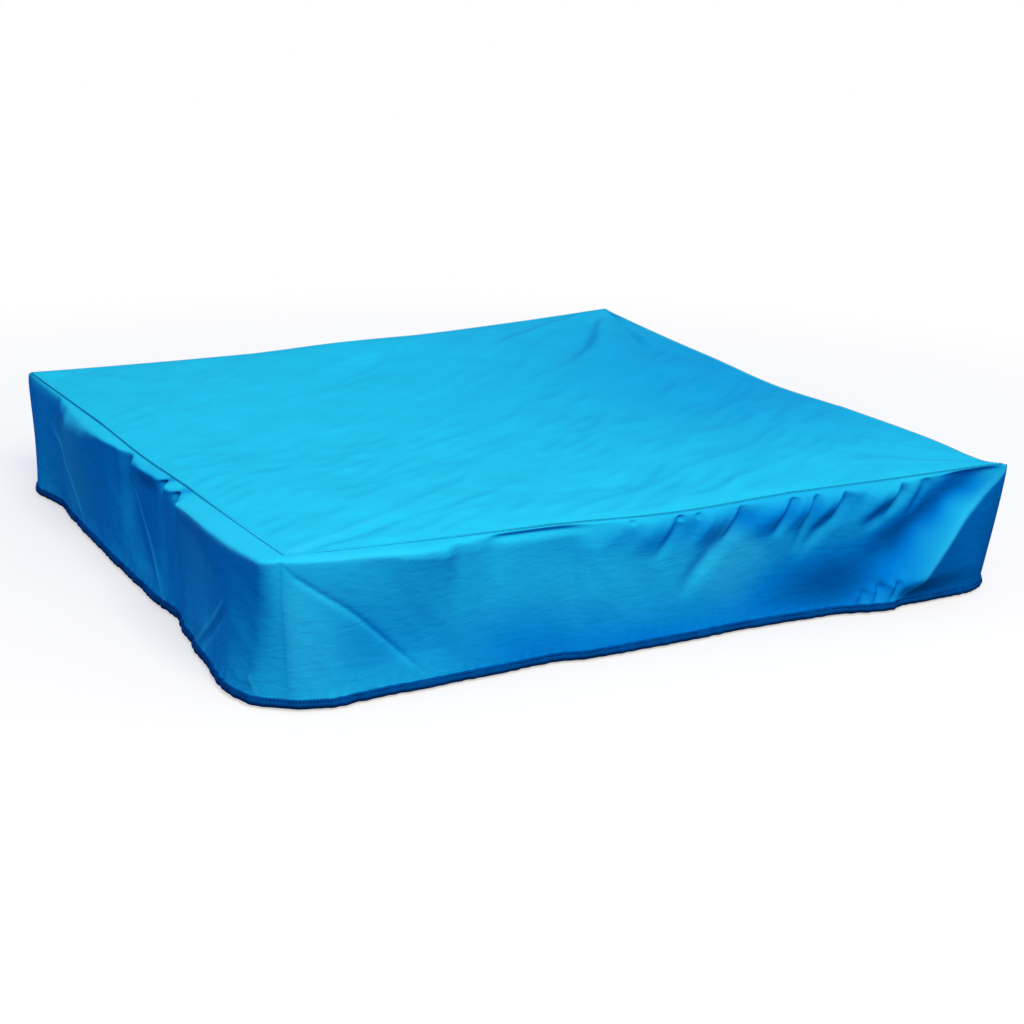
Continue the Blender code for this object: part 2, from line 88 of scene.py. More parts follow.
# sign is a corner's quarter of the plan, shift how far it stands out of the square, rise how far above the
# seats, and reach how far along the sides before and after it that is felt, in shares of a side. pinch is how
# far those sides are drawn in beside a pointed corner, most at PINCH_PLACE from it.
Corner = namedtuple("Corner", "sign shift rise reach pinch hem_radius")
CORNERS = (
    Corner((-1, -1), (-0.001, -0.012), 0.010, (0.42, 0.42), (0.0, 0.0), 0.105),
    Corner((1, -1), (0.004, 0.008), 0.002, (0.42, 0.42), (0.005, 0.022), 0.090),
    Corner((1, 1), (0.006, 0.012), 0.026, (0.65, 0.80), (0.0, 0.0), 0.060),
    Corner((-1, 1), (0.000, -0.006), 0.003, (0.42, 0.42), (0.0, 0.0), 0.130),
)

# shoulder lists, for shares of the way along the side, how many millimetres the cloth stands out just under
# the seam, how many it takes to turn down there, how square that turn is, how far down it has come in again,
# and how high its puckers are. hem lists how many millimetres the hem strays out of its even line, and how
# late the cloth flares out to it. hem_stands is how far that line stands out of the cover's square, and
# middle_rise how far the seam rises between the seats.
Side = namedtuple("Side", "name outward hem_stands middle_rise shoulder hem")
SIDES = (
    Side(
        "front", (0, -1), hem_stands=0.028, middle_rise=-0.006,
        shoulder=(
            (0, 14, 6, 2, 190, 0), (0.03, 16, 8, 2, 190, 0), (0.1, 23, 10, 3.2, 160, 0),
            (0.16, 32, 15, 3.6, 150, 0), (0.182, 29, 18, 3.6, 150, 0), (0.212, 15, 19, 3, 155, 0.1),
            (0.26, 5, 24, 2.2, 170, 0.3), (0.35, 4, 24, 2, 180, 0.4), (0.4, 12, 18, 2, 190, 0.6),
            (0.5, 22, 15, 2, 190, 0.9), (0.59, 26, 15, 2, 190, 1), (0.68, 30, 15, 2, 190, 1),
            (0.77, 36, 15, 2.2, 190, 1), (0.81, 33, 16, 2.4, 190, 1), (0.885, 7, 18, 2.4, 190, 0.3),
            (0.93, 2, 18, 2.2, 190, 0), (1, 1, 20, 2, 190, 0),
        ),
        hem=(
            (0, 12, 1.2), (0.04, 3, 1.2), (0.08, -5, 1.2), (0.13, -9, 1.3), (0.26, -15, 1.5),
            (0.34, -21, 1.8), (0.38, -11, 2), (0.48, -12, 2.4), (0.62, -18, 2.8), (0.73, -14, 3),
            (0.8, 1, 2.6), (0.82, 3, 2.4), (0.845, -10, 2), (0.94, -8, 1.4), (1, -2, 1.2),
        ),
    ),
    Side(
        "right", (1, 0), hem_stands=0.004, middle_rise=-0.005,
        shoulder=(
            (0, 1, 20, 2, 190, 0), (0.3, 14, 24, 2, 170, 1.2), (0.7, 16, 24, 2, 170, 1.2),
            (1, 4, 20, 2, 190, 0),
        ),
        hem=((0, -2, 1.2), (0.3, 3, 1.6), (0.6, -3, 1.6), (0.85, 4, 1.6), (1, 0, 1.2)),
    ),
    Side(
        "back", (0, 1), hem_stands=0.012, middle_rise=0.004,
        shoulder=(
            (0, 4, 20, 2, 190, 0), (0.2, 20, 24, 2, 180, 1), (0.6, 18, 26, 2, 170, 1.4),
            (0.8, 24, 20, 2.4, 180, 1), (1, 4, 24, 2, 190, 0),
        ),
        hem=((0, 0, 1.2), (0.15, 8, 1.4), (0.45, -2, 1.8), (0.8, 6, 1.6), (1, 0, 1.2)),
    ),
    Side(
        "left", (-1, 0), hem_stands=0.025, middle_rise=-0.004,
        shoulder=(
            (0, 4, 24, 2, 190, 0), (0.15, 6, 20, 2, 190, 0.09), (0.195, 17, 24, 2.2, 190, 0.18),
            (0.245, 30, 30, 2.6, 190, 0.24), (0.305, 30, 25, 3, 190, 0.24), (0.35, 27, 13, 3, 190, 0.18),
            (0.385, 25, 9, 3, 190, 0.18), (0.44, 17, 7, 3, 190, 0.15), (0.478, 6, 8, 2.5, 190, 0.09),
            (0.52, 19, 13, 3, 190, 0.18), (0.55, 22, 6, 3, 190, 0.12), (0.6, 19, 7, 3, 190, 0.12),
            (0.628, 14, 8, 2.5, 190, 0.09), (0.655, 26, 8, 3, 190, 0.09), (0.685, 20, 8, 3, 190, 0.09),
            (0.712, 26, 10, 3, 190, 0.06), (0.735, 42, 8, 4, 190, 0), (0.9, 43, 8, 4, 190, 0),
            (0.965, 37, 9, 3.4, 190, 0), (1, 14, 6, 2, 190, 0),
        ),
        hem=(
            (0, 0, 1.2), (0.05, -4, 1.2), (0.15, -22, 1.4), (0.22, -16, 1.6), (0.32, -11, 1.7),
            (0.45, -6, 1.7), (0.6, -4, 1.7), (0.67, -10, 1.7), (0.74, 4, 1.6), (0.82, 17, 1.4),
            (0.92, 29, 1.2), (0.96, 25, 1.2), (1, 12, 1.2),
        ),
    ),
)

# Pockets of slack cloth that hang from a side's seam: where each starts and ends along it and how far it
# hangs, in millimetres. They lean back towards the first corner as they hang.
POCKETS = {
    "front": (
        (462, 532, 12), (528, 612, 40), (634, 716, 64), (724, 808, 32), (796, 844, 48), (834, 898, 38),
        (920, 1006, 42), (996, 1054, 16),
    ),
    "right": ((240, 310, 26), (420, 500, 36), (560, 610, 18), (690, 770, 32), (860, 930, 22)),
    "back": (
        (190, 260, 20), (330, 410, 34), (450, 500, 18), (600, 690, 38), (760, 810, 24), (930, 1000, 28),
    ),
}
POCKET_LEAN = 0.6

# Painted shade: where a sheet's colour is darkened as if little light reached it. The middle of the place
# and how far it reaches, both along and down and all in millimetres, and how much of the painted light is
# taken. A lee is painted shadow on all that lies beyond a fold.
SHADES = {
    "front": (
        (885, 145, 165, 62, 0.95), (560, 190, 260, 64, 0.7), (330, 160, 120, 70, 0.4),
        (110, 130, 100, 80, 0.3), (1000, 96, 58, 42, 0.75), (1065, 60, 48, 34, 0.75),
        (1125, 28, 46, 26, 0.75), (740, 26, 280, 30, 0.6),
    ),
    "left": ((690, 16, 48, 12, 0.7), (757, 10, 16, 12, 0.95), (830, 12, 16, 14, 0.95)),
    "top": ((640, 100, 460, 560, 0.4),),
}
# Painted shadow on all beyond the ridge of the near right ear: the line's start and end, and how much.
LEE = {"front": ((1200, 0), (985, 205), 0.85)}

# Folds of a skirt: where each starts and ends, in millimetres along its side from the first corner and down
# from the seam, its width and its height. A ridge is soft, a crease is sharp, an edge is sharp on one side
# and runs out on the other, and a lip is a ridge from which the cloth runs taut to the last corner. The pale
# rows have no shape: they are painted highlights, paler by the height's share. A lip leaves a painted
# highlight along its ridge, and a crease a pale line that is partly wear and partly painted highlight.
SKIRT_FOLDS = {
    "front": {
        "wear_and_highlight": (
            (20, 3, 206, 9, 6, 0.4), (14, 40, 22, 180, 45, 0.35), (720, 50, 660, 125, 55, 0.38),
            (925, 178, 1000, 168, 12, 0.08), (1190, 6, 1045, 146, 5, 0.5),
        ),
        "crease": ((4, 4, 196, 178, 3, -2.8),),
        "edge": ((4, 4, 196, 178, 50, 2), (428, 25, 438, 140, 30, 5)),
        "ridge": (
            (310, 7, 446, 7, 7, -5), (526, 1, 523, 8, 4, -5), (606, 1, 602, 10, 5, -6),
            (636, 1, 631, 10, 4, -5), (600, 10, 562, 60, 12, -3), (708, 8, 620, 112, 15, -7),
            (802, 6, 766, 52, 10, -5), (836, 6, 806, 78, 9, -5), (890, 10, 820, 84, 12, -6),
            (936, 1, 930, 10, 4, -4), (1000, 14, 930, 62, 12, -6), (1046, 6, 1018, 50, 10, -4),
            (1165, 6, 935, 135, 34, -14), (992, 140, 975, 160, 14, 4), (930, 168, 916, 190, 6, 6),
            (944, 166, 929, 190, 6, -6), (958, 162, 942, 190, 6, 6.5), (972, 158, 955, 190, 6, -6.5),
            (986, 156, 969, 190, 6, 6.5), (1000, 156, 984, 190, 6, -6),
        ),
        "lip": ((1200, 0, 985, 205, 48, 34),),
    },
    "right": {
        "ridge": (
            (12, 12, 150, 170, 22, 9), (60, 20, 170, 150, 16, -5), (300, 12, 355, 130, 22, 9),
            (360, 12, 420, 120, 16, -7), (640, 12, 600, 140, 22, 9), (700, 12, 655, 110, 14, -7),
            (880, 10, 850, 90, 14, 7), (1170, 30, 1010, 165, 24, -5),
        ),
        "crease": ((500, 30, 560, 170, 4, 1.2), (1180, 14, 1030, 172, 4, 1.5)),
    },
    "back": {
        "ridge": (
            (20, 14, 170, 175, 24, 9), (80, 20, 215, 150, 16, -5), (330, 12, 290, 90, 16, 7),
            (380, 12, 335, 110, 14, -7), (560, 12, 505, 130, 22, 9), (720, 12, 690, 80, 14, -6),
            (900, 12, 960, 140, 20, 9), (960, 12, 1010, 120, 14, -6), (1160, 14, 1060, 170, 20, 6),
        ),
        "crease": ((470, 30, 430, 165, 4, 1.4),),
    },
    "left": {
        "wear_and_highlight": (
            (250, 20, 300, 190, 110, 0.32), (250, 18, 420, 10, 9, 0.35), (880, 5, 1180, 5, 7, 0.5),
            (940, 40, 900, 190, 110, 0.2),
        ),
        "crease": (
            (160, 70, 352, 195, 4, 2.2), (598, 30, 754, 185, 4, 2.4), (1060, 98, 925, 200, 4, 2.5),
            (1150, 168, 1165, 190, 5, 2),
        ),
        "ridge": (
            (190, 50, 300, 150, 45, -4), (560, 40, 700, 180, 40, -5), (752, 1, 758, 15, 11, -17),
            (822, 1, 832, 18, 11, -19), (1074, 104, 950, 200, 7, -3),
        ),
        "edge": ((590, 60, 622, 14, 14, 4), (858, 40, 864, 8, 8, 5)),
    },
}

# Folds of the top panel, as those of a skirt but from the middle of the box to the right and back
TOP_FOLDS = {
    "ridge": (
        (604, 608, 450, 380, 15, 8), (590, 600, 330, 300, 26, -9.5), (604, 590, 500, 260, 22, -8.5),
        (585, 604, 300, 470, 14, 7), (604, 570, 540, 330, 11, 5.5), (-590, -586, -340, -462, 12, -4),
        (590, -594, 400, -420, 16, -4), (598, -590, 480, -380, 10, 3), (-592, 588, -420, 430, 18, 3),
    ),
    # Painted highlights, which only make the cloth paler.
    "wear_and_highlight": ((596, 600, 500, 470, 12, 0.35), (-596, -584, -570, -566, 12, 0.6)),
    "crease": ((-594, -582, -360, -440, 9, 2), (594, -598, 340, -470, 9, 1.5)),
}


def ramp(x):
    """A smooth step from 0 to 1."""
    x = np.clip(x, 0.0, 1.0)
    return x * x * (3 - 2 * x)


def fade(share, reach):
    """1 at a corner, falling to 0 where the seam no longer feels it."""
    return np.clip(1.0 - share / reach, 0.0, 1.0) ** 2


def dip(share):
    """0 over the seats, rising to 1 at the middle of a side."""
    free = np.clip((np.minimum(share, 1 - share) - SEAT_SPAN) / (0.5 - SEAT_SPAN), 0.0, 1.0)
    return np.sin(free * np.pi / 2) ** 2


def corner_plan(index):
    corner = CORNERS[index % 4]
    return np.array([sign * (COVER_SIDE / 2 + out) for sign, out in zip(corner.sign, corner.shift)])


def seam_curve(index, u):
    """Points of one top seam, u along it from its first corner."""
    side, start, stop = SIDES[index], CORNERS[index], CORNERS[(index + 1) % 4]
    first, second = corner_plan(index), corner_plan(index + 1)
    inward = SEAM_BOW * 4 * u * (1 - u)
    for pinch, share in ((start.pinch[1], u), (stop.pinch[0], 1 - u)):
        near = share * COVER_SIDE / PINCH_PLACE
        inward = inward + pinch * near * np.exp(1 - near)
    plan = first + (second - first) * u[..., None] - np.array(side.outward) * inward[..., None]
    rises = start.rise * fade(u, start.reach[1]) + stop.rise * fade(1 - u, stop.reach[0])
    level = CLOTH_REST + rises + side.middle_rise * dip(u)
    return np.concatenate([plan, level[..., None]], axis=-1)


def hem_curve(index, u):
    """Points of the hem's rounded outline on the ground plan, and the way that each faces."""
    side, half = SIDES[index], COVER_SIDE / 2
    outward = np.array((*side.outward, 0.0))
    along = np.array((-outward[1], outward[0], 0.0))
    first, second = CORNERS[index].hem_radius, CORNERS[(index + 1) % 4].hem_radius
    start = -(half + SIDES[index - 1].hem_stands) + first
    run = half + SIDES[(index + 1) % 4].hem_stands - second - start
    arcs = first * np.pi / 4, second * np.pi / 4
    travel = u * (arcs[0] + run + arcs[1]) - arcs[0]
    turn = np.where(travel < 0, travel / first, np.where(travel > run, (travel - run) / second, 0.0))
    radius = np.where(travel < 0, first, np.where(travel > run, second, 0.0))
    facing = outward * np.cos(turn)[..., None] + along * np.sin(turn)[..., None]
    reach = (half + side.hem_stands - radius)[..., None]
    centre = outward * reach + along * (start + np.clip(travel, 0, run))[..., None]
    return centre + facing * radius[..., None], facing


def fanned(index, u):
    """Where along the seam a fall of cloth begins: the cloth of a rounded corner fans out from its point."""
    for corner, flip in ((CORNERS[index], False), (CORNERS[(index + 1) % 4], True)):
        share = 1 - u if flip else u
        span = 1.3 * corner.hem_radius * np.pi / 4 / COVER_SIDE
        near = np.clip(share / span, 0.0, 1.0)
        share = np.where(share < span, span * near * near * (2 - near), share)
        u = 1 - share if flip else share
    return u


def fold_field(folds, s, t, mark_width):
    """Heights of the folds at points (s, t) in metres, and their pale marks: painted highlight and wear."""
    height, crease = np.zeros_like(s), np.zeros_like(s)
    for kind, (*sizes, high) in ((kind, row) for kind, rows in folds.items() for row in rows):
        s0, t0, s1, t1, width = (size * MM for size in sizes)
        ds, dt = s1 - s0, t1 - t0
        length = math.hypot(ds, dt)
        way = ((s - s0) * ds + (t - t0) * dt) / length**2
        off = ((s - s0) * dt - (t - t0) * ds) / length
        ends = ramp((way + 0.15) / 0.3) * ramp((1.25 - way) / 0.6)
        # A painted highlight: the cloth only gets paler.
        if kind == "wear_and_highlight":
            crease += high * ends * np.exp(-((off / width) ** 2))
            continue
        if kind == "ridge":
            shape = np.exp(-((off / width) ** 2))
        elif kind == "crease":
            shape = np.exp(-(np.sqrt(off * off + (0.12 * width) ** 2) - 0.12 * width) / width)
            # The pale line along a crease is partly wear and partly painted highlight.
            crease += ends * np.exp(-((off / mark_width) ** 2)) * np.clip(high / 3, 0.0, 1.0)
        elif kind == "lip":
            line = s0 + ds * (t - t0) / dt
            taut = np.clip((COVER_SIDE - s) / (COVER_SIDE - line + 1 * MM), 0.0, 1.0)
            spread = width * (0.35 + 0.65 * np.clip(way, 0.0, 1.0))
            shape = np.where(s > line, taut, np.exp(-(((line - s) / spread) ** 2)))
            ends = np.clip(way / 0.8, 0.0, 1.0) * (1 - 0.35 * ramp((way - 0.75) / 0.25))
            # A painted highlight along the lip's ridge.
            crease += 0.4 * ends * np.exp(-((off / (2.0 * MM)) ** 2))
        else:
            one_side = np.clip(off, 0.0, None) / width
            shape = 1.65 * one_side * np.exp(-(one_side**2) / 2)
        height += high * MM * ends * shape
    return height, crease


def waves(a, b, seed, size, stretch=1.0, angle=0.0, count=14):
    """Smooth noise between about -1 and 1: a seeded sum of waves near one size, drawn out along an angle."""
    draw = random.Random(seed)
    along = (a * math.cos(angle) + b * math.sin(angle)) / stretch
    across = b * math.cos(angle) - a * math.sin(angle)
    total = np.zeros_like(a)
    for _ in range(count):
        way, phase = draw.uniform(0, 2 * math.pi), draw.uniform(0, 2 * math.pi)
        rate = 2 * math.pi / (size * draw.uniform(0.6, 1.7))
        total += np.sin(rate * (along * math.cos(way) + across * math.sin(way)) + phase)
    return total / math.sqrt(count)


def crumple(a, b, seed, size, stretch=1.0, angle=0.0):
    """Noise with sharp crests, as of cloth that has been folded away."""
    return 0.6 - np.sqrt(waves(a, b, seed, size, stretch, angle) ** 2 + 0.02)


def along_table(u, table):
    """The columns of a table at u, eased from each row to the next."""
    places, *columns = (np.array(column, dtype=float) for column in zip(*table))
    row = np.clip(np.searchsorted(places, u, side="right") - 1, 0, len(places) - 2)
    eased = ramp((u - places[row]) / (places[row + 1] - places[row]))
    return [column[row] + (column[row + 1] - column[row]) * eased for column in columns]


def shaded(name, s, t):
    """How much painted light is left at points (s, t) of a sheet, after the painted shade and shadow."""
    light = np.ones_like(s)
    if name in LEE:
        start, end, painted_shade = LEE[name]
        (s0, t0), (s1, t1) = np.array(start) * MM, np.array(end) * MM
        beyond = ((s - s0) * (t1 - t0) - (t - t0) * (s1 - s0)) / math.hypot(s1 - s0, t1 - t0)
        light *= 1 - painted_shade * ramp(beyond / (4 * MM))
    for *sizes, painted_shade in SHADES.get(name, ()):
        s0, t0, wide, high = (size * MM for size in sizes)
        light *= 1 - painted_shade * np.exp(-(((s - s0) / wide) ** 2) - ((t - t0) / high) ** 2)
    return light


def hanging(pockets, s):
    """How far the pockets of slack cloth hang at s: each deepens slowly along the seam and ends sooner."""
    depth = np.zeros_like(s)
    for start, end, hang in pockets:
        way = (s / MM - start) / (end - start)
        depth += hang * MM * ramp(way / 0.65) * ramp((1 - way) / 0.35)
    return depth


def skirt_surface(index, u, w):
    """The outer face of a skirt, u along its hem and w down it: points, facings, pale marks and painted
    light.
    """
    side = SIDES[index]
    seam = seam_curve(index, fanned(index, u))
    hem, facing = hem_curve(index, u)
    fall = seam[..., 2] - SKIRT_FOOT
    s, t = u * COVER_SIDE, w * fall
    gap = hem - seam
    stands = (gap * facing).sum(-1)
    sideways = gap - facing * stands[..., None]
    sideways[..., 2] = 0.0
    shoulder, turn, square, foot, pucker = along_table(u, side.shoulder)
    shoulder, foot = shoulder * MM, np.minimum(foot * MM, fall)
    turn = turn * MM * (1 + 0.2 * np.clip(pucker, 0.0, 1.0) * waves(s, 0.5 * t, 31 + index, 0.07))
    stray, late = along_table(u, side.hem)
    hang = hanging(POCKETS.get(side.name, ()), s + POCKET_LEAN * t)
    low = turn + hang
    if side.name in POCKETS:
        # Between its pockets the cloth is drawn in under the seam. Lower down that evens out.
        under_seam = 1 - ramp((t - 12 * MM) / (48 * MM))
        drawn_in = 0.4 + under_seam * (0.6 * (1 - ramp(hang / (36 * MM))) - 0.4)
        shoulder = shoulder * (1 - np.clip(pucker, 0.0, 1.0) * drawn_in)
    rounding = np.clip(t / low, 0.0, 1.0)
    bulge = shoulder * (1 - (1 - rounding) ** square) ** (1 / square)
    crisp = np.clip((square - 2) / 1.4, 0.0, 1.0)
    come = np.clip((t - turn) / (foot - turn), 0.0, 1.0)
    bulge *= (1 - crisp) * (1 - ramp(come)) + crisp * (1 - come) ** 1.3
    out = bulge + (stands + stray * MM) * (t / fall) ** late
    folds, crease = fold_field(SKIRT_FOLDS[side.name], s, t, 1.8 * MM)
    folds *= 1 - 0.7 * ramp((w - 0.8) / 0.2)
    calm = ramp(t / (8 * MM)) * ramp(u / 0.035) * ramp((1 - u) / 0.035)
    steady = 1 - 0.7 * ramp((w - 0.86) / 0.14)
    ragged = waves(s + 0.3 * t, 0.2 * t, 21 + index, 0.11)
    drawn = ragged * (t / turn) ** 2 * np.exp(2 - 2 * t / turn)
    gather = waves(s, 0.3 * t, 41 + index, 0.016) * np.exp(-(fall - t) / 0.012)
    rumple = crumple(s, t, 51 + index, 0.16, 2.2, 1.0)
    fine = crumple(s, t, 61 + index, 0.055, 2.4, 0.9)
    out += calm * (folds + MM * (pucker * drawn + 0.6 * gather + steady * (1.5 * rumple + 0.3 * fine)))
    lip = np.clip(1 - t / (5 * MM), 0.0, 1.0) ** 2
    out -= 0.7 * MM * lip
    point = seam + facing * out[..., None] + sideways * w[..., None]
    point[..., 2] = seam[..., 2] - 0.8 * MM * lip - t
    return point, facing, np.clip(crease, 0.0, 1.0), shaded(side.name, s, t)


def top_surface(p, q):
    """The top panel's upper face, p along the front and q to the back: points, pale marks, painted light."""
    near, far = seam_curve(0, p), seam_curve(2, 1 - p)
    right, left = seam_curve(1, q), seam_curve(3, 1 - q)
    a, b, c, d = (corner_plan(i) for i in range(4))
    p1, q1 = p[..., None], q[..., None]
    flat = (a * (1 - p1) + b * p1) * (1 - q1) + (d * (1 - p1) + c * p1) * q1
    plan = near[..., :2] * (1 - q1) + far[..., :2] * q1
    plan += left[..., :2] * (1 - p1) + right[..., :2] * p1 - flat
    x, y = plan[..., 0], plan[..., 1]
    level = np.full_like(p, CLOTH_REST)
    for index, (along, away) in enumerate(((p, q), (q, 1 - p), (1 - p, 1 - q), (1 - q, p))):
        corner = CORNERS[index]
        level += SIDES[index].middle_rise * dip(along) * fade(away, 0.42)
        level += corner.rise * fade(along, corner.reach[1]) * fade(away, corner.reach[0])
    free = np.clip(SEAT_EDGE - 0.02 - np.abs(x) - np.abs(y), 0.0, None)
    edge = np.minimum.reduce([p, 1 - p, q, 1 - q]) * COVER_SIDE
    level -= SAG * ramp(edge / 0.2) * free**2 / (free**2 + 0.09)
    folds, crease = fold_field(TOP_FOLDS, x, y, 5 * MM)
    calm = ramp(edge / 0.03)
    rumple = crumple(x, y, 71, 0.16, 2.6, 0.62)
    streaks = crumple(x, y, 72, 0.055, 3.0, 0.62)
    level += calm * MM * (2.0 + 2.0 * rumple + 1.2 * streaks)
    level += ramp(edge / 0.012) * folds
    over_seat = ramp((np.abs(x) + np.abs(y) - SEAT_EDGE + 0.06) / 0.04)
    held = CLOTH_REST - SAG * (1 - over_seat)
    level = held + MM * np.logaddexp(0.0, (level - held) / MM)
    level -= 1.2 * MM * np.clip(1 - edge / (4 * MM), 0.0, 1.0) ** 2
    return np.stack([x, y, level], axis=-1), np.clip(crease, 0.0, 1.0), shaded("top", x, y)


# Objects


def activate(piece):
    bpy.ops.object.select_all(action="DESELECT")
    piece.select_set(True)
    bpy.context.view_layer.objects.active = piece


def edit(piece):
    activate(piece)
    bpy.ops.object.mode_set(mode="EDIT")


def finish_edit():
    bpy.ops.object.mode_set(mode="OBJECT")


def face_outwards():
    """Turns all the faces of the closed piece in edit mode outwards."""
    bpy.ops.mesh.select_all(action="SELECT")
    bpy.ops.mesh.normals_make_consistent(inside=False)


def apply(piece, modifier):
    activate(piece)
    bpy.ops.object.modifier_apply(modifier=modifier.name)


def read(items, name, width=3):
    """One property of all the items, as rows of numbers."""
    values = np.empty(len(items) * width)
    items.foreach_get(name, values)
    return values.reshape(-1, width)


def place(piece, points):
    piece.data.vertices.foreach_set("co", np.ascontiguousarray(points, dtype=np.float32).ravel())
    piece.data.update()


def mark(piece, name, values):
    """Writes a number for each vertex."""
    marks = piece.data.attributes.get(name) or piece.data.attributes.new(name, "FLOAT", "POINT")
    marks.data.foreach_set("value", np.ascontiguousarray(values, dtype=np.float32))


def turn_out(piece, outwards):
    """Turns a sheet's faces over if they look the wrong way. outwards says, for the whole sheet, where."""
    if (read(piece.data.polygons, "normal") @ np.array(outwards)).sum() < 0:
        edit(piece)
        bpy.ops.mesh.select_all(action="SELECT")
        bpy.ops.mesh.flip_normals()
        finish_edit()


def new_grid(name, columns, rows):
    """A new grid with so many faces each way, and the column and row of each of its vertices."""
    bpy.ops.mesh.primitive_grid_add(x_subdivisions=columns, y_subdivisions=rows, size=1.0)
    piece = bpy.context.object
    piece.name = piece.data.name = name
    flat = read(piece.data.vertices, "co") + 0.5
    return piece, np.rint(flat[:, 0] * columns).astype(int), np.rint(flat[:, 1] * rows).astype(int)


def lay_uv(piece, along, across):
    """A UV map in metres, from where each vertex lies on the flat cloth."""
    corners = np.empty(len(piece.data.loops), dtype=np.int32)
    piece.data.loops.foreach_get("vertex_index", corners)
    uv = np.stack([along, across], axis=-1)[corners]
    piece.data.uv_layers.active.data.foreach_set("uv", uv.astype(np.float32).ravel())


def paint_light_and_shade(piece, light=1.0):
    """Marks each point's painted light, by how it faces: most on top, some at the front, little elsewhere."""
    towards_painted_light = np.array(PAINTED_LIGHT_WAY) / np.linalg.norm(PAINTED_LIGHT_WAY)
    share = np.clip(read(piece.data.vertices, "normal") @ towards_painted_light / towards_painted_light[2], 0.0, 1.0)
    mark(piece, "painted_light", light * (PAINTED_SKY_LIGHT + (1 - PAINTED_SKY_LIGHT) * share))


def cloth_sheet(name, surface, metres, outwards, thickness):
    """A cloth sheet on grid points, with a UV map in metres and its pale marks and painted light as
    attributes.
    """
    points, crease, light = surface
    piece, i, j = new_grid(name, points.shape[0] - 1, points.shape[1] - 1)
    place(piece, points[i, j])
    lay_uv(piece, metres[0][i, j], metres[1][i, j])
    mark(piece, "crease", crease[i, j])
    turn_out(piece, outwards)
    paint_light_and_shade(piece, light[i, j])
    wall = piece.modifiers.new("cloth thickness", "SOLIDIFY")
    wall.thickness, wall.offset = thickness, -1.0
    apply(piece, wall)
    # The inner face, which the thickness has added, gets painted shade and no pale marks.
    for attribute, painted_shade in (("painted_light", 0.5 * PAINTED_SKY_LIGHT), ("crease", 0.0)):
        values = read(piece.data.attributes[attribute].data, "value", 1).ravel()
        values[len(i) :] = painted_shade
        mark(piece, attribute, values)
    bpy.ops.object.shade_smooth_by_angle(angle=math.radians(60))
    return piece


def ring(name, centres, outs, section, dark_foot=0.0):
    """A closed ring all round the cover. section is its outline as (out, up), for all points or for each.

    Painted shade darkens its cloth at the foot, less and less up to the height dark_foot.
    """
    stations, points = len(centres), section.shape[-2]
    section = np.broadcast_to(section, (stations, points, 2))
    piece, i, j = new_grid(name, stations, points)
    up = np.array((0.0, 0.0, 1.0))
    shape = centres[:, None] + outs[:, None] * section[..., :1] + up * section[..., 1:]
    place(piece, shape[i % stations, j % points])
    lay_uv(piece, i * 4 * COVER_SIDE / stations, j * 2.2 * MM)
    edit(piece)
    bpy.ops.mesh.select_all(action="SELECT")
    bpy.ops.mesh.remove_doubles(threshold=0.001 * MM)
    face_outwards()
    finish_edit()
    height = read(piece.data.vertices, "co")[:, 2] - HEM_FOOT
    paint_light_and_shade(piece, ramp(height / dark_foot) if dark_foot else 1.0)
    bpy.ops.object.shade_smooth()
    return piece


def all_round(curve, stations):
    """Points and facings of a curve of each side, run on into one loop."""
    share = np.arange(stations) / stations
    found = [curve(index, share) for index in range(4)]
    return tuple(np.concatenate(column) for column in zip(*found))


def hem_line(index, u):
    """The hem's middle line at the foot of a skirt, and the way it faces."""
    point, facing, *_ = skirt_surface(index, u, np.ones_like(u))
    point[..., 2] = HEM_FOOT + HEM_HEIGHT / 2
    return point, facing


def seam_line(index, u):
    """The middle of the felled seam, just inside the edge of the top panel, and the way it faces."""
    inset = 3.4 * MM / COVER_SIDE
    edge = np.clip(u, inset, 1 - inset)
    still = np.full_like(u, inset)
    grid = ((edge, still), (1 - still, edge), (1 - edge, 1 - still), (still, 1 - edge))[index]
    point, *_ = top_surface(*grid)
    return point, np.broadcast_to(np.array((*SIDES[index].outward, 0.0)), point.shape)


def dress(piece, material):
    piece.data.materials.clear()
    piece.data.materials.append(material)


def finish(piece, material, body, replaces=()):
    """Gives a piece its material, puts it on its body and hides the nodes that it stands for."""
    dress(piece, material)
    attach(piece, body)
    if replaces:
        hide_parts(*replaces)


# Materials


def linear(hex_colour):
    """An sRGB hex colour as linear red, green, blue and alpha."""
    parts = [int(hex_colour[i : i + 2], 16) / 255 for i in (1, 3, 5)]
    return (*(p / 12.92 if p <= 0.04045 else ((p + 0.055) / 1.055) ** 2.4 for p in parts), 1.0)


def new_material(name):
    made = bpy.data.materials.new(name)
    made.use_nodes = True
    return made, made.node_tree, made.node_tree.nodes["Principled BSDF"]


def set_sockets(tree, node, sockets):
    """A socket's value is a number or colour to set, or another node's output to link."""
    for key, value in sockets.items():
        if isinstance(value, bpy.types.NodeSocket):
            tree.links.new(value, node.inputs[key])
        else:
            node.inputs[key].default_value = value


def add_node(tree, kind, sockets, stops=(), **settings):
    """Adds a node with its settings and links, and gives its outputs. stops are a colour ramp's."""
    made = tree.nodes.new(f"ShaderNode{kind}")
    for name, value in settings.items():
        setattr(made, name, value)
    set_sockets(tree, made, sockets)
    for where, _ in stops[1:-1]:
        made.color_ramp.elements.new(where)
    for index, (where, colour) in enumerate(stops):
        made.color_ramp.elements[index].position = where
        made.color_ramp.elements[index].color = colour
    return made.outputs


def blend(tree, share, first, second, way="MIX"):
    sockets = {0: share, 6: first, 7: second}
    return add_node(tree, "Mix", sockets, data_type="RGBA", blend_type=way)[2]


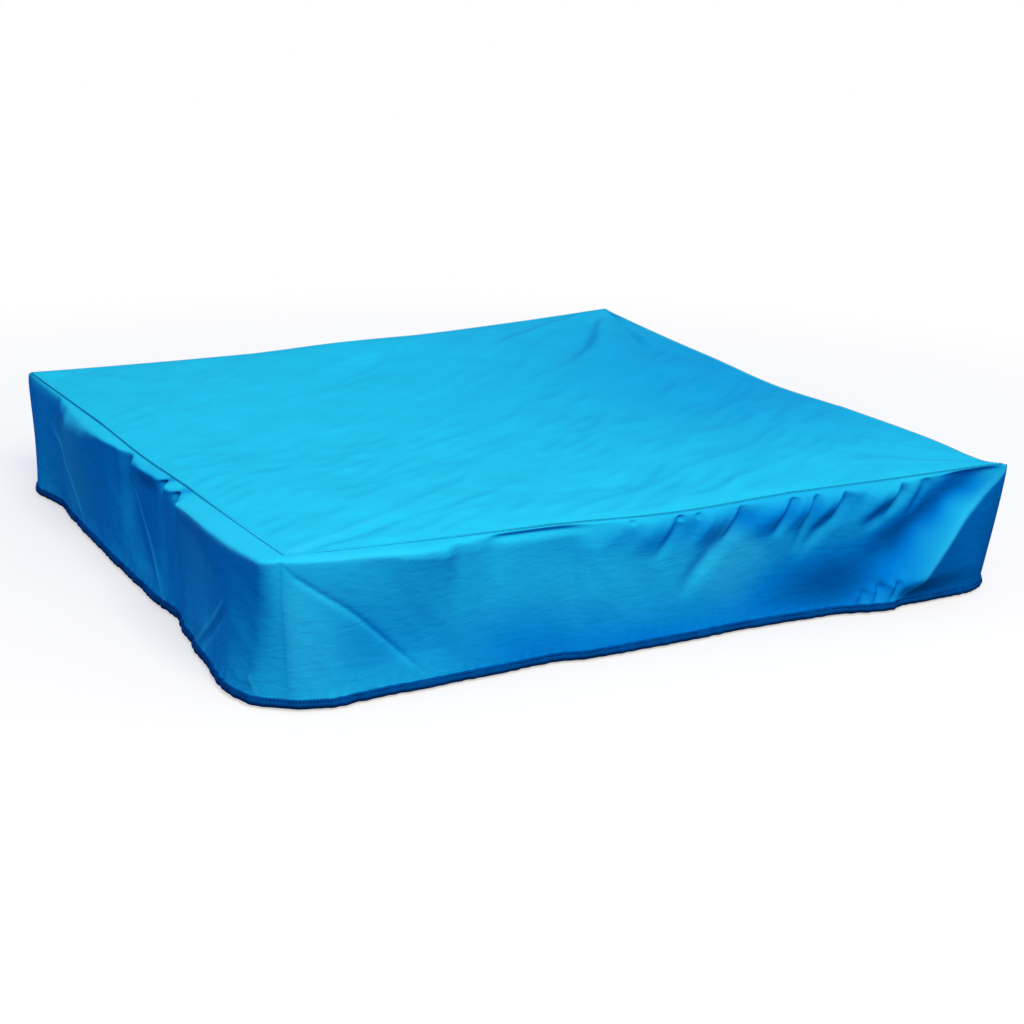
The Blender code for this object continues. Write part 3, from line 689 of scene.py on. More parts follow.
def tint(tree, share, colour, lowest):
    """A colour, of which only the lowest part is left where share falls to 0."""
    return blend(tree, share, (*(lowest * part for part in colour[:3]), 1.0), colour)


def position(tree, kind="Object"):
    return add_node(tree, "TexCoord", {})[kind]


def stretch(tree, vector, scale, **more):
    return add_node(tree, "Mapping", {"Vector": vector, "Scale": scale, **more})[0]


def multiply(tree, first, second, **settings):
    return add_node(tree, "Math", {0: first, 1: second}, operation="MULTIPLY", **settings)[0]


def between(tree, value, low, high):
    """A value from 0 to 1, drawn in between two others."""
    return add_node(tree, "MapRange", {"Value": value, "To Min": low, "To Max": high})[0]


def noise(tree, vector, size, detail, **more):
    return add_node(tree, "TexNoise", {"Vector": vector, "Scale": 1 / size, "Detail": detail, **more})


def bump(tree, height, strength, distance, **more):
    return add_node(tree, "Bump", {"Height": height, "Strength": strength, "Distance": distance, **more})[0]


def bands(tree, vector, spacing, way, **more):
    """Bands of a wave texture, that spacing apart."""
    scale = 2 * math.pi / (20 * spacing)
    return add_node(tree, "TexWave", {"Vector": vector, "Scale": scale, **more}, bands_direction=way)["Fac"]


def coated_polyester(name, look, painted_shade, dyed, painted_lit):
    """Woven polyester with a waterproof coat, slightly silky, with painted light, shade and highlights, and
    wear.
    """
    made, tree, shader = new_material(name)
    uv = position(tree, "UV")
    painted_light = add_node(tree, "Attribute", {}, attribute_name="painted_light")["Fac"]
    # The colour runs from painted shade through the cloth's own colour to painted light.
    colours = add_node(tree, "ValToRGB", {"Fac": painted_light}, ((0.0, painted_shade), (PAINTED_SKY_LIGHT, dyed), (1.0, painted_lit)))[0]
    cloud = noise(tree, uv, 0.09, 4.0)["Fac"]
    toned = blend(tree, 1.0, colours, between(tree, cloud, 0.89, 1.11), "MULTIPLY")
    # Slubs are about 12 mm long and 2 mm wide, drawn out along the weft.
    drawn = stretch(tree, uv, (1 / 0.012, 1 / 0.0022, 1.0))
    slub = noise(tree, drawn, 1.0, 2.0)["Fac"]
    slubbed = blend(tree, 0.12, toned, slub, "MULTIPLY")
    # Pale marks: painted highlights, and along creases partly wear.
    marks = add_node(tree, "Attribute", {}, attribute_name="crease")["Fac"]
    wear_and_highlight = multiply(tree, marks, 0.65, use_clamp=True)
    # The threads are about 0.25 mm apart, which is too fine to show, so they are drawn wider.
    weave = multiply(tree, *(bands(tree, uv, look.thread_spacing, way) for way in "XY"))
    grain = bump(tree, slub, 0.25, 0.4 * MM, Normal=bump(tree, weave, 0.16, 0.2 * MM))
    # Crinkles left by the folded pack are about 30 mm long and 12 mm apart.
    turned = stretch(tree, uv, (1 / 0.03, 1 / 0.012, 1.0), Rotation=(0.0, 0.0, 0.6))
    crinkle = noise(tree, turned, 1.0, 3.0, Distortion=0.6)["Fac"]
    sockets = {
        "Base Color": blend(tree, wear_and_highlight, slubbed, look.wear_and_highlight_colour),
        "Roughness": between(tree, cloud, 0.5, 0.66),
        "IOR": 1.45,
        "Specular IOR Level": 0.002,
        "Normal": bump(tree, crinkle, 0.6, 2.6 * MM, Normal=grain),
    }
    set_sockets(tree, shader, sockets)
    return made


def sewing_thread(name, colour, painted_highlight):
    """Spun polyester thread: matt, its two plies just showing, with a painted highlight near the near corner.
    """
    made, tree, shader = new_material(name)
    place_on = position(tree)
    ply = bands(tree, place_on, 0.8 * MM, "DIAGONAL", Distortion=1.0)
    # Three times the height keeps the hem's thread out of the painted highlight.
    tall = add_node(tree, "VectorMath", {0: place_on, 1: (1, 1, 3)}, operation="MULTIPLY")[0]
    corner = (*corner_plan(0), 3 * CLOTH_REST)
    away = add_node(tree, "VectorMath", {0: tall, 1: corner}, operation="DISTANCE")["Value"]
    off_highlight = add_node(tree, "MapRange", {"Value": away, "From Min": 0.12, "From Max": 0.4})[0]
    wear_and_highlight = blend(tree, off_highlight, painted_highlight, tint(tree, ply, colour, 0.7))
    set_sockets(tree, shader, {"Base Color": wear_and_highlight, "Roughness": 0.7, "Specular IOR Level": 0.02})
    return made


def planed_pine(name, pale, dark, knot, turn, spacing):
    """Planed and oiled pine: pale wood between darker growth lines that run with the board, and few knots."""
    made, tree, shader = new_material(name)
    place_on = position(tree)
    along = add_node(tree, "Mapping", {"Vector": place_on, "Rotation": turn})[0]
    # The grain wanders about 1 mm across in every 30 mm along.
    stretched = stretch(tree, along, (0.6, 12.0, 12.0))
    drift = noise(tree, stretched, 1.0, 3.0)
    lean = add_node(tree, "VectorMath", {0: drift["Color"], 1: (0.0, 0.06, 0.06)}, operation="MULTIPLY")[0]
    straight = {0: along, 1: (0.02, 1.0, 1.0), 2: lean}
    wander = add_node(tree, "VectorMath", straight, operation="MULTIPLY_ADD")[0]
    # A diagonal wave is half as dense. The lines are faint in places.
    rings = bands(tree, wander, spacing / 2, "DIAGONAL", Distortion=1.2, Detail=2.0)
    patchy = multiply(tree, rings, drift["Fac"])
    lined = add_node(tree, "ValToRGB", {"Fac": patchy}, ((0.15, pale), (0.62, dark)))[0]
    # Knots are about 20 mm across and some 250 mm apart.
    spots = stretch(tree, along, (3.2, 9.0, 9.0))
    off = add_node(tree, "TexVoronoi", {"Vector": spots, "Scale": 1.0})["Distance"]
    core = {"Value": off, "From Min": 0.05, "From Max": 0.13, "To Min": 0.85, "To Max": 0.0}
    knotted = blend(tree, add_node(tree, "MapRange", core)[0], lined, knot)
    # Fibres are about 0.4 mm wide and drawn twice as wide.
    fine = stretch(tree, along, (18.0, 1200.0, 1200.0))
    fibre = noise(tree, fine, 1.0, 3.0)
    sockets = {
        "Base Color": blend(tree, 0.22, knotted, fibre["Color"], "MULTIPLY"),
        "Roughness": between(tree, fibre["Fac"], 0.5, 0.72),
        "Normal": bump(tree, fibre["Fac"], 0.3, 0.5 * MM),
    }
    set_sockets(tree, shader, sockets)
    return made


def play_sand(name, pale, dark):
    """Washed quartz sand: a warm pale mass of grains, a few of them dark and a few clear."""
    made, tree, shader = new_material(name)
    place_on = position(tree)
    # The grains are about 0.8 mm, drawn at 2 mm to show.
    grains = add_node(tree, "TexVoronoi", {"Vector": place_on, "Scale": 1 / (2 * MM)})
    damp = noise(tree, place_on, 0.2, 5.0)["Fac"]
    split = add_node(tree, "SeparateColor", {"Color": grains["Color"]})[0]
    both = add_node(tree, "Math", {0: damp, 1: 0.6, 2: split}, operation="MULTIPLY_ADD")[0]
    colours = add_node(tree, "ValToRGB", {"Fac": both}, ((0.2, dark), (1.0, pale)))[0]
    rounded = bump(tree, grains["Distance"], 0.8, 1.2 * MM)
    set_sockets(tree, shader, {"Base Color": colours, "Roughness": 0.92, "Normal": rounded})
    return made


def woven_liner(name, colour):
    """Woven weed-stop fabric: flat black polypropylene tapes, slightly shiny."""
    made, tree, shader = new_material(name)
    place_on = position(tree)
    weave = multiply(tree, *(bands(tree, place_on, 2.2 * MM, way) for way in "XY"))
    tone = tint(tree, weave, colour, 0.55)
    raised = bump(tree, weave, 0.5, 0.4 * MM)
    set_sockets(tree, shader, {"Base Color": tone, "Roughness": 0.6, "Normal": raised})
    return made


def zinc_plate(name, colour):
    """Zinc-plated steel: a soft metallic grey with a cloudy passivated bloom."""
    made, tree, shader = new_material(name)
    bloom = noise(tree, position(tree), 4 * MM, 4.0)["Fac"]
    tone = tint(tree, bloom, colour, 0.7)
    rough = between(tree, bloom, 0.25, 0.5)
    set_sockets(tree, shader, {"Base Color": tone, "Roughness": rough, "Metallic": 1.0})
    return made


def braided_elastic(name, colour):
    """Elastic cord: rubber in a tight textile braid, off-white and matt."""
    made, tree, shader = new_material(name)
    place_on = position(tree)
    braid = bands(tree, place_on, 1.2 * MM, "DIAGONAL", Distortion=2.0)
    tone = tint(tree, braid, colour, 0.75)
    set_sockets(tree, shader, {"Base Color": tone, "Roughness": 0.85})
    return made


# Settings


def colour_setting(name, description, default):
    return bpy.props.FloatVectorProperty(
        name=name, description=description, default=linear(default), size=4, subtype="COLOR"
    )


def size_setting(name, description, default, unit="LENGTH"):
    return bpy.props.FloatProperty(name=name, description=description, default=default, unit=unit)


class CoverSettings(bpy.types.PropertyGroup):
    cloth_thickness: size_setting("Cloth thickness", "Thickness of the cover's cloth", 0.7 * MM)
    thread_spacing: size_setting("Thread spacing", "Distance between the threads as they are drawn", 1.4 * MM)
    stitch_length: size_setting("Stitch length", "Length of one stitch on the hem and the top seam", 3.2 * MM)
    # Painted shade: the cloth's colour where little light reaches.
    painted_shade_colour: colour_setting("Kept colour", "Colour of the cloth where little light reaches", "#00509A")
    cloth_colour: colour_setting("Cloth colour", "Colour of the cloth in light from the sky only", "#007BD6")
    # Painted light: the cloth's colour where it faces the light.
    painted_lit_colour: colour_setting("Faded colour", "Colour of the cloth where it lies in the sun", "#24CBF0")
    # Pale marks: painted highlights, along creases partly wear, and a painted highlight on the thread.
    wear_and_highlight_colour: colour_setting("Crease colour", "Colour of the cloth along an old crease", "#36C6F2")
    # Painted shade of the hem: its colour at the foot, where little light reaches.
    hem_shade_colour: colour_setting("Hem colour", "Colour of the doubled cloth of the hem", "#032A5C")
    thread_colour: colour_setting("Thread colour", "Colour of the sewing thread", "#052E72")
    elastic_colour: colour_setting("Elastic colour", "Colour of the cord in the hem", "#D9D8D2")


class BoxSettings(bpy.types.PropertyGroup):
    sand_ripple: size_setting("Sand ripple", "Height of the small ripples in the sand", 5 * MM)
    pine_pale: colour_setting("Pale pine", "Colour of the wood between the growth lines", "#E2C294")
    pine_dark: colour_setting("Dark pine", "Colour of the growth lines", "#C4945C")
    pine_knot: colour_setting("Knot", "Colour of the knots", "#6B4426")
    sand_pale: colour_setting("Pale sand", "Colour of most grains", "#F0DEB8")
    sand_dark: colour_setting("Dark sand", "Colour of damp grains", "#D6B781")
    liner_colour: colour_setting("Liner", "Colour of the ground liner", "#2B2C2E")
    screw_colour: colour_setting("Screws", "Colour of the plated screws", "#CFC9BA")


class StageSettings(bpy.types.PropertyGroup):
    floor_colour: colour_setting("Floor", "Colour of the floor", "#FFFFFF")
    bounce_colour: colour_setting("Bounce", "Colour of the light that the floor throws back", "#949494")
    fill_colour: colour_setting("Fill light", "Colour of the light all round", "#D1DFFF")
    fill_strength: size_setting("Fill strength", "Strength of the light all round", 0.66, "NONE")
    lamp_colour: colour_setting("Softbox", "Colour of the softbox", "#FFF3DA")
    lamp_power: size_setting("Softbox power", "Power of the softbox", 186.0, "POWER")
    lens: size_setting("Lens", "Focal length on a sensor 36 mm wide", 70.94, "CAMERA")


# Operators

BOX = "sandbox"
COVER = "cover"
CORNER_NAMES = ("near_left", "near_right", "far_right", "far_left")


class SANDBOX_OT_timber(bpy.types.Operator):
    """Finishes the boards, posts and seats in pine, with the grain along each"""

    bl_idname = "sandbox.timber"
    bl_label = "Finish Timber"

    def execute(self, context):
        look = context.scene.sandbox_box
        colours = look.pine_pale, look.pine_dark, look.pine_knot
        quarter = math.pi / 2
        ways = {
            "along X": ((0.0, 0.0, 0.0), 11 * MM),
            "along Y": ((0.0, 0.0, -quarter), 11 * MM),
            "upright": ((0.0, quarter, 0.0), 8 * MM),
            "across the seat": ((0.0, 0.0, quarter / 2), 14 * MM),
            "across the other seat": ((0.0, 0.0, -quarter / 2), 14 * MM),
        }
        grain = {way: planed_pine(f"planed pine, grain {way}", *colours, *lie) for way, lie in ways.items()}
        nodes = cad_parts
        for side in SIDES:
            for course in ("lower", "upper"):
                way = "along X" if side.outward[1] else "along Y"
                dress(nodes[f"{side.name}_board_{course}"], grain[way])
        for name, corner in zip(CORNER_NAMES, CORNERS):
            dress(nodes[f"post_{name}"], grain["upright"])
            way = "across the seat" if corner.sign[0] == corner.sign[1] else "across the other seat"
            dress(nodes[f"seat_{name}"], grain[way])
        return {"FINISHED"}


class SANDBOX_OT_liner(bpy.types.Operator):
    """Finishes the ground liner in woven black fabric"""

    bl_idname = "sandbox.liner"
    bl_label = "Finish Liner"

    def execute(self, context):
        material = woven_liner("woven liner", context.scene.sandbox_box.liner_colour)
        dress(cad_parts["ground_liner"], material)
        return {"FINISHED"}


class SANDBOX_OT_sand(bpy.types.Operator):
    """Fills the box with raked sand"""

    bl_idname = "sandbox.sand"
    bl_label = "Add Sand"

    def execute(self, context):
        look = context.scene.sandbox_box
        low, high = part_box("sand_fill")
        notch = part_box("post_near_right")[0].x - 0.3 * MM
        half = high.x
        cells = 168
        bpy.ops.mesh.primitive_grid_add(x_subdivisions=cells, y_subdivisions=cells, size=2 * half)
        bed = bpy.context.object
        bed.name = bed.data.name = "sand_bed"
        points = read(bed.data.vertices, "co")
        for axis in (0, 1):
            near = np.abs(np.abs(points[:, axis]) - notch) < 0.51 * 2 * half / cells
            points[near, axis] = np.sign(points[near, axis]) * notch
        points[:, 2] = self.level(points[:, 0], points[:, 1], high.z, half, look.sand_ripple)
        place(bed, points)
        edit(bed)
        bpy.ops.mesh.select_mode(type="FACE")
        bpy.ops.mesh.select_all(action="DESELECT")
        finish_edit()
        for face in bed.data.polygons:
            face.select = min(abs(face.center.x), abs(face.center.y)) > notch
        edit(bed)
        bpy.ops.mesh.delete(type="FACE")
        bpy.ops.mesh.select_mode(type="EDGE")
        bpy.ops.mesh.select_non_manifold()
        bpy.ops.mesh.extrude_edges_move(TRANSFORM_OT_translate={"value": (0, 0, low.z - high.z)})
        bpy.ops.transform.resize(value=(1, 1, 0), center_override=(0, 0, low.z))
        bpy.ops.mesh.edge_face_add()
        face_outwards()
        finish_edit()
        bpy.ops.object.shade_smooth_by_angle(angle=math.radians(50))
        finish(bed, play_sand("washed play sand", look.sand_pale, look.sand_dark), BOX, ["sand_fill"])
        return {"FINISHED"}

    @staticmethod
    def level(x, y, high, half, ripple):
        """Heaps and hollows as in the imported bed, with ripples and pits that small hands leave."""
        a, b = x / half, y / half
        swell = np.sin(2.3 * a + 0.7) * np.cos(1.9 * b - 0.4) + 0.5 * np.sin(3.7 * b + 2.1 * a)
        level = high + 0.0084 * (swell - 1.42)
        level += ripple * (0.5 * waves(x, y, 81, 0.16) + 0.3 * crumple(x, y, 82, 0.05))
        draw = random.Random(83)
        for _ in range(26):
            px, py = draw.uniform(-0.46, 0.46), draw.uniform(-0.46, 0.46)
            wide, deep = draw.uniform(0.02, 0.05), draw.uniform(0.002, 0.007)
            away = np.hypot(x - px, y - py) / wide
            level += deep * (0.45 * np.exp(-((away - 1.5) ** 2) * 3) - np.exp(-(away**2)))
        return np.minimum(level, high + 4 * MM)


class SANDBOX_OT_screws(bpy.types.Operator):
    """Models one countersunk screw with a cross recess and sets a copy in every hole"""

    bl_idname = "sandbox.screws"
    bl_label = "Add Screws"

    head_radius: size_setting("Head radius", "Radius of a screw's head", 4.9 * MM)
    shank_radius: size_setting("Shank radius", "Radius of a screw's shank", 2.2 * MM)

    def execute(self, context):
        material = zinc_plate("zinc-plated steel", context.scene.sandbox_box.screw_colour)
        nodes = sorted(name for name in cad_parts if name.startswith("screw_"))
        low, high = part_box(nodes[0])
        model = self.model(max(high - low))
        for name in nodes:
            low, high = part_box(name)
            middle, span = (low + high) / 2, high - low
            axis = max(range(3), key=lambda i: span[i])
            outward = Vector((0.0, 0.0, 0.0))
            outward[axis] = 1.0 if axis == 2 or middle[axis] > 0 else -1.0
            head = middle + outward * span[axis] / 2
            turn = outward.to_track_quat("Z", "Y").to_matrix().to_4x4()
            spin = Matrix.Rotation(random.Random(name).uniform(0, math.pi), 4, "Z")
            piece = bpy.data.objects.new(f"wood_{name}", model.data.copy())
            context.scene.collection.objects.link(piece)
            piece.data.transform(Matrix.Translation(head) @ turn @ spin)
            finish(piece, material, BOX, [name])
        bpy.data.objects.remove(model)
        return {"FINISHED"}

    def model(self, length):
        """A screw at the origin, its head up and its top on the plane of X and Y."""
        rings = (
            (0.3 * self.shank_radius, -length),
            (self.shank_radius, -length + 7 * MM),
            (self.shank_radius, -4.2 * MM),
            (0.94 * self.head_radius, -0.7 * MM),
            (self.head_radius, -0.35 * MM),
            (0.95 * self.head_radius, 0.0),
        )
        radius, height = rings[0]
        foot = {"radius": radius, "location": (0, 0, height)}
        bpy.ops.mesh.primitive_circle_add(vertices=24, fill_type="NGON", **foot)
        screw = bpy.context.object
        bpy.ops.object.transform_apply(location=True)
        edit(screw)
        bpy.ops.mesh.select_all(action="SELECT")
        for next_radius, next_height in rings[1:]:
            bpy.ops.mesh.extrude_region_move(TRANSFORM_OT_translate={"value": (0, 0, next_height - height)})
            grow = next_radius / radius
            bpy.ops.transform.resize(value=(grow, grow, 1), center_override=(0, 0, next_height))
            radius, height = next_radius, next_height
        face_outwards()
        finish_edit()
        for turn in (0.0, math.pi / 2):
            bpy.ops.mesh.primitive_cube_add(size=1.0, location=(0, 0, 0))
            arm = bpy.context.object
            bpy.ops.transform.resize(value=(5.6 * MM, 1.1 * MM, 3.4 * MM))
            bpy.ops.transform.rotate(value=turn, orient_axis="Z", center_override=(0, 0, 0))
            recess = screw.modifiers.new("recess", "BOOLEAN")
            recess.object, recess.operation, recess.solver = arm, "DIFFERENCE", "EXACT"
            apply(screw, recess)
            bpy.data.objects.remove(arm)
        bpy.ops.object.shade_smooth_by_angle(angle=math.radians(35))
        return screw


class COVER_OT_cloth(bpy.types.Operator):
    """Drapes the top panel and the four skirts in coated polyester"""

    bl_idname = "cover.cloth"
    bl_label = "Add Cover Cloth"

    def execute(self, context):
        look = context.scene.sandbox_cover
        colours = look.painted_shade_colour, look.cloth_colour, look.painted_lit_colour
        material = coated_polyester("coated polyester", look, *colours)
        # The grids are closest beside the seams, where the cloth turns down.
        border = np.array((0.0, 0.6, 1.4, 2.6, 4.2, 6.5, 9.5)) * MM / COVER_SIDE
        share = np.concatenate([border, np.linspace(0.012, 0.988, 186), 1 - border[::-1]])
        p, q = np.meshgrid(share, share, indexing="ij")
        metres = p * COVER_SIDE, q * COVER_SIDE
        top = cloth_sheet("cover_top_cloth", top_surface(p, q), metres, (0, 0, 1), look.cloth_thickness)
        finish(top, material, COVER, ["cover_top"])
        under = np.array((0.0, 0.4, 0.9, 1.6, 2.5, 3.6, 4.9, 6.4, 8.0, 9.8, 11.8, 14.0)) * MM / SKIRT_FALL
        down = np.concatenate([under, np.linspace(0.088, 1.0, 64)])
        ends = np.array((0.0, 0.7, 1.6, 2.8)) * MM / COVER_SIDE
        along = np.concatenate([ends, np.linspace(0.0036, 0.9964, 392), 1 - ends[::-1]])
        u, w = np.meshgrid(along, down, indexing="ij")
        metres = u * COVER_SIDE, w * SKIRT_CLOTH
        for index, side in enumerate(SIDES):
            points, _, *marks = skirt_surface(index, u, w)
            name, outwards = f"cover_skirt_cloth_{side.name}", (*side.outward, 0)
            skirt = cloth_sheet(name, (points, *marks), metres, outwards, look.cloth_thickness)
            finish(skirt, material, COVER, [f"cover_skirt_{side.name}"])
        return {"FINISHED"}


class COVER_OT_hem(bpy.types.Operator):
    """Turns up the hem all round, with the elastic cord in it"""

    bl_idname = "cover.hem"
    bl_label = "Add Hem"

    elastic_radius: size_setting("Elastic radius", "Radius of the cord in the hem", 1.6 * MM)

    def execute(self, context):
        look = context.scene.sandbox_cover
        # The hem is coloured in painted shade, darkest at its foot.
        colours = look.hem_shade_colour, look.painted_shade_colour, look.painted_shade_colour
        cloth = coated_polyester("doubled hem cloth", look, *colours)
        stations = 360
        centres, outs = all_round(hem_line, stations)
        share = np.arange(4 * stations) / stations * COVER_SIDE
        still = np.zeros_like(share)
        pinch = 0.5 * waves(share, still, 91, 0.018) + 0.5 * waves(share, still, 92, 0.045)
        pinch = np.clip(pinch, -1.0, 1.0)[:, None]
        upper = ((0.6, 6.9), (1.5, 6.2), (2.0, 4.6), (3.0, 1.5))
        lower = ((3.4, -1.5), (2.8, -4.6), (1.2, -6.3), (-0.4, -6.5))
        outer = np.array(upper + lower)
        outline = np.concatenate([outer, outer[::-1] * (-1, 1) - (0.2, 0)])
        section = np.repeat(outline[None] * MM, len(centres), axis=0)
        section[..., 0] *= 1 + 0.2 * pinch
        section[..., 0] += 0.8 * MM * pinch
        hem = ring("cover_hem_band", centres, outs, section, 1.3 * HEM_HEIGHT)
        finish(hem, cloth, COVER, [f"cover_hem_{side.name}" for side in SIDES])
        turns = np.linspace(0, 2 * np.pi, 10, endpoint=False)
        round_section = np.stack([np.cos(turns), np.sin(turns)], axis=-1) * self.elastic_radius
        cord = ring("hem_elastic_cord", centres, outs, round_section)
        rubber = braided_elastic("braided elastic", look.elastic_colour)
        finish(cord, rubber, COVER, ["hem_elastic"])
        return {"FINISHED"}


class COVER_OT_seams(bpy.types.Operator):
    """Fells the top seam and sews it and the hem"""

    bl_idname = "cover.seams"
    bl_label = "Add Seams"

    # The stitches are drawn wider than real ones, so that the dark thread also paints the shadow line of the
    # top seam.
    stitch_width: size_setting("Stitch width", "Width of one stitch", 2.6 * MM)
    stitch_height: size_setting("Stitch height", "Height of one stitch over the cloth", 0.8 * MM)

    def execute(self, context):
        look = context.scene.sandbox_cover
        colours = look.painted_shade_colour, look.cloth_colour, look.painted_lit_colour
        cloth = coated_polyester("felled seam cloth", look, *colours)
        outline = ((3.3, -0.7), (2.4, 0.1), (0.8, 0.5), (-1.4, 0.5), (-3.0, 0.1), (-3.4, -0.6), (0.0, -0.9))
        stations = 300
        seam = ring("cover_seam_band", *all_round(seam_line, stations), np.array(outline) * MM)
        finish(seam, cloth, COVER)
        thread = sewing_thread("polyester thread", look.thread_colour, look.wear_and_highlight_colour)
        pitch = 1.35 * look.stitch_length
        count = int(COVER_SIDE / pitch)
        rows = []
        for line, out, up in ((seam_line, 1.6, 0.4), (hem_line, 2.15, 4.8), (hem_line, 3.35, -1.5)):
            centres, outs = all_round(line, count)
            rows.append(centres + outs * out * MM + np.array((0, 0, up * MM)))
        finish(self.sew("cover_stitching", rows, look.stitch_length), thread, COVER)
        return {"FINISHED"}

    def sew(self, name, rows, length):
        """One stitch, modelled once and copied along each row of points."""
        bpy.ops.mesh.primitive_uv_sphere_add(segments=6, ring_count=5, radius=0.5)
        stitch = bpy.context.object
        shape = np.array([v.co for v in stitch.data.vertices])
        faces = [tuple(p.vertices) for p in stitch.data.polygons]
        bpy.data.objects.remove(stitch)
        points, links = [], []
        for row in rows:
            for at, way in zip(row, np.roll(row, -1, axis=0) - row):
                size = np.linalg.norm(way)
                if size < 0.5 * length:
                    continue
                forward = way / size
                side = np.cross((0.0, 0.0, 1.0), forward)
                side /= np.linalg.norm(side)
                up = np.cross(forward, side)
                turn = np.stack([side * self.stitch_width, up * self.stitch_height, forward * length])
                base = len(points) * len(shape)
                points.append(at + way / 2 + shape @ turn)
                links += [tuple(base + i for i in face) for face in faces]
        mesh = bpy.data.meshes.new(name)
        mesh.from_pydata(np.concatenate(points), [], links)
        piece = bpy.data.objects.new(name, mesh)
        bpy.context.scene.collection.objects.link(piece)
        mesh.shade_smooth()
        return piece


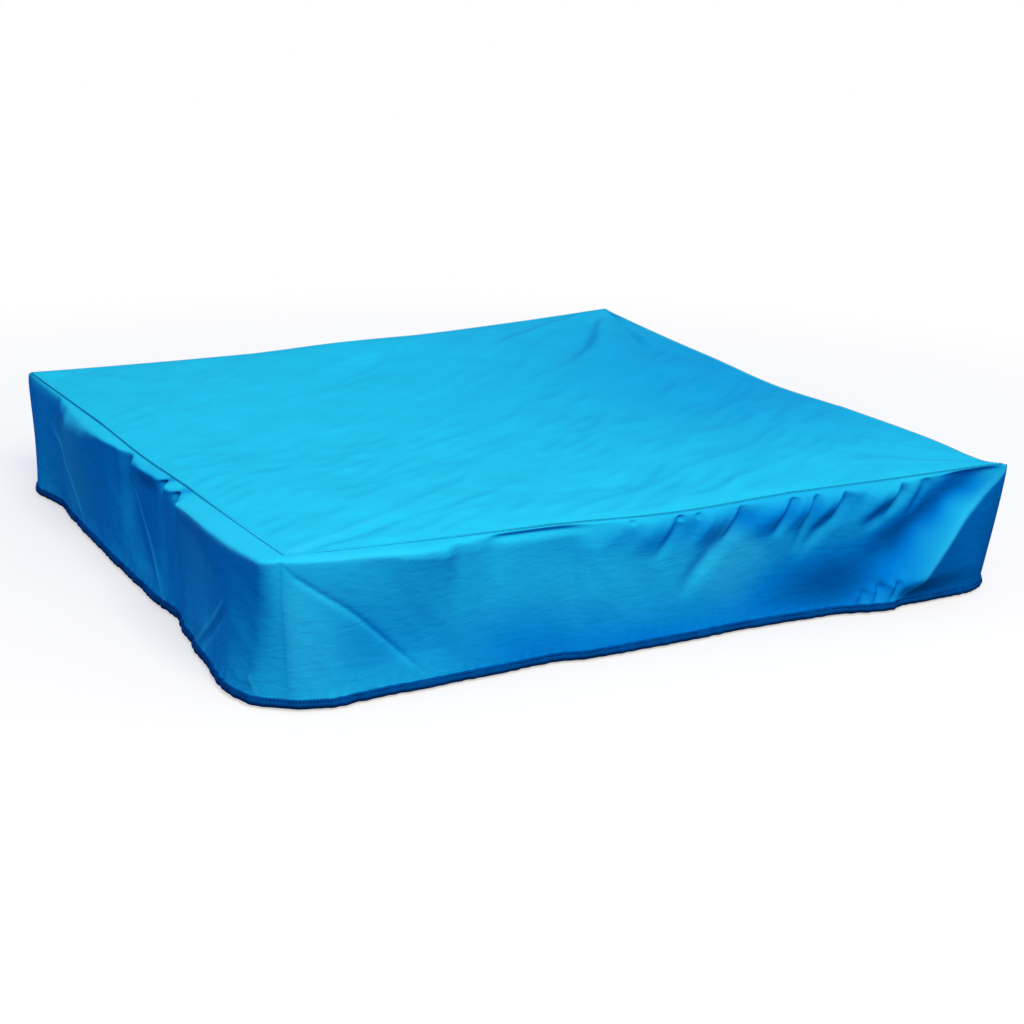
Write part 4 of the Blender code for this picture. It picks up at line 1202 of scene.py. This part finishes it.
class SANDBOX_OT_stage(bpy.types.Operator):
    """Sets the floor, the light and the camera"""

    bl_idname = "sandbox.stage"
    bl_label = "Set Stage"

    def execute(self, context):
        look, scene = context.scene.sandbox_stage, context.scene
        scene.view_settings.view_transform = "Standard"
        self.floor(look)
        self.world(scene, look)
        place_at, size = Vector((-0.6, -3.4, 3.75)), 2.3
        self.lamp("softbox", place_at, size, look.lamp_power, look.lamp_colour)
        self.camera(scene, look.lens)
        return {"FINISHED"}

    @staticmethod
    def seen_ray(tree):
        """1 for a ray that shows the background: straight to the eye, off a shiny thing or through glass."""
        rays = add_node(tree, "LightPath", {})
        shiny = {0: rays["Is Glossy Ray"], 1: rays["Is Transmission Ray"]}
        both = {0: rays["Is Camera Ray"], 1: add_node(tree, "Math", shiny, operation="MAXIMUM")[0]}
        return add_node(tree, "Math", both, operation="MAXIMUM")[0]

    def floor(self, look):
        bpy.ops.mesh.primitive_plane_add(size=120.0, location=(0, 0, -0.2 * MM))
        floor = bpy.context.object
        floor.name = "floor"
        made, tree, shader = new_material("matt white floor")
        matt = {"Base Color": look.floor_colour, "Roughness": 0.9, "Specular IOR Level": 0.1}
        set_sockets(tree, shader, matt)
        dull = add_node(tree, "BsdfDiffuse", {"Color": look.bounce_colour})[0]
        glow = add_node(tree, "Emission", {"Color": linear("#FFFFFF"), "Strength": 1.0})[0]
        # The floor is lit near the object, where it keeps the shadow, and runs out to plain white.
        place_on = position(tree)
        away = add_node(tree, "VectorMath", {0: place_on}, operation="LENGTH")["Value"]
        reach = {"Value": away, "From Min": 0.7, "From Max": 2.2, "To Min": 0.55, "To Max": 1.0}
        clear = add_node(tree, "MapRange", reach)[0]
        white = add_node(tree, "MixShader", {0: clear, 1: shader.outputs[0], 2: glow})[0]
        seen = add_node(tree, "MixShader", {0: self.seen_ray(tree), 1: dull, 2: white})[0]
        tree.links.new(seen, tree.nodes["Material Output"].inputs["Surface"])
        floor.data.materials.append(made)

    def world(self, scene, look):
        world = bpy.data.worlds.new("studio")
        scene.world = world
        world.use_nodes = True
        tree = world.node_tree
        tree.nodes.clear()
        sky = add_node(tree, "Background", {"Color": look.fill_colour, "Strength": look.fill_strength})[0]
        white = add_node(tree, "Background", {"Color": linear("#FFFFFF"), "Strength": 1.0})[0]
        mixed = add_node(tree, "MixShader", {0: self.seen_ray(tree), 1: sky, 2: white})[0]
        add_node(tree, "OutputWorld", {"Surface": mixed})

    @staticmethod
    def lamp(name, place_at, size, power, colour):
        """A square softbox that looks at the middle of the box."""
        light = bpy.data.lights.new(name, "AREA")
        light.size = size
        light.energy = power
        light.color = colour[:3]
        lamp = bpy.data.objects.new(name, light)
        lamp.location = place_at
        lamp.rotation_euler = place_at.to_track_quat("Z", "Y").to_euler()
        bpy.context.scene.collection.objects.link(lamp)

    @staticmethod
    def camera(scene, lens):
        """The photograph's view: from the near left, a little above, with a slight tilt."""
        azimuth, elevation, tilt = (math.radians(a) for a in (-28.874, 16.777, 1.271))
        target, distance = Vector((0.097, 0.067, 0.0)), 3.534
        level = Euler((math.pi / 2 - elevation, 0.0, azimuth)).to_matrix()
        axes = level @ Matrix.Rotation(tilt, 3, "Z")
        data = bpy.data.cameras.new("view")
        data.lens = lens
        data.sensor_width = 36.0
        view = bpy.data.objects.new("view", data)
        view.matrix_world = Matrix.Translation(target + axes.col[2] * distance) @ axes.to_4x4()
        scene.collection.objects.link(view)
        scene.camera = view


class SANDBOX_PT_panel(bpy.types.Panel):
    """Lists the sizes and colours, and a button for each step that makes the pieces"""

    bl_idname = "SANDBOX_PT_panel"
    bl_label = "Covered Sandbox"
    bl_space_type = "VIEW_3D"
    bl_region_type = "UI"
    bl_category = "Sandbox"

    def draw(self, context):
        scene = context.scene
        for settings in (scene.sandbox_box, scene.sandbox_cover, scene.sandbox_stage):
            for name in settings.__annotations__:
                self.layout.prop(settings, name)
        for operator in OPERATORS:
            self.layout.operator(operator.bl_idname)


OPERATORS = (
    SANDBOX_OT_stage,
    SANDBOX_OT_timber,
    SANDBOX_OT_liner,
    SANDBOX_OT_sand,
    SANDBOX_OT_screws,
    COVER_OT_cloth,
    COVER_OT_hem,
    COVER_OT_seams,
)
SETTINGS = {"sandbox_cover": CoverSettings, "sandbox_box": BoxSettings, "sandbox_stage": StageSettings}


def register():
    for settings in SETTINGS.values():
        bpy.utils.register_class(settings)
    for name, settings in SETTINGS.items():
        setattr(bpy.types.Scene, name, bpy.props.PointerProperty(type=settings))
    for operator in OPERATORS:
        bpy.utils.register_class(operator)
    bpy.utils.register_class(SANDBOX_PT_panel)


def unregister():
    bpy.utils.unregister_class(SANDBOX_PT_panel)
    for operator in reversed(OPERATORS):
        bpy.utils.unregister_class(operator)
    for name, settings in SETTINGS.items():
        delattr(bpy.types.Scene, name)
        bpy.utils.unregister_class(settings)


def main():
    register()
    for operator in OPERATORS:
        group, name = operator.bl_idname.split(".")
        getattr(getattr(bpy.ops, group), name)()


if __name__ == "__main__":
    main()
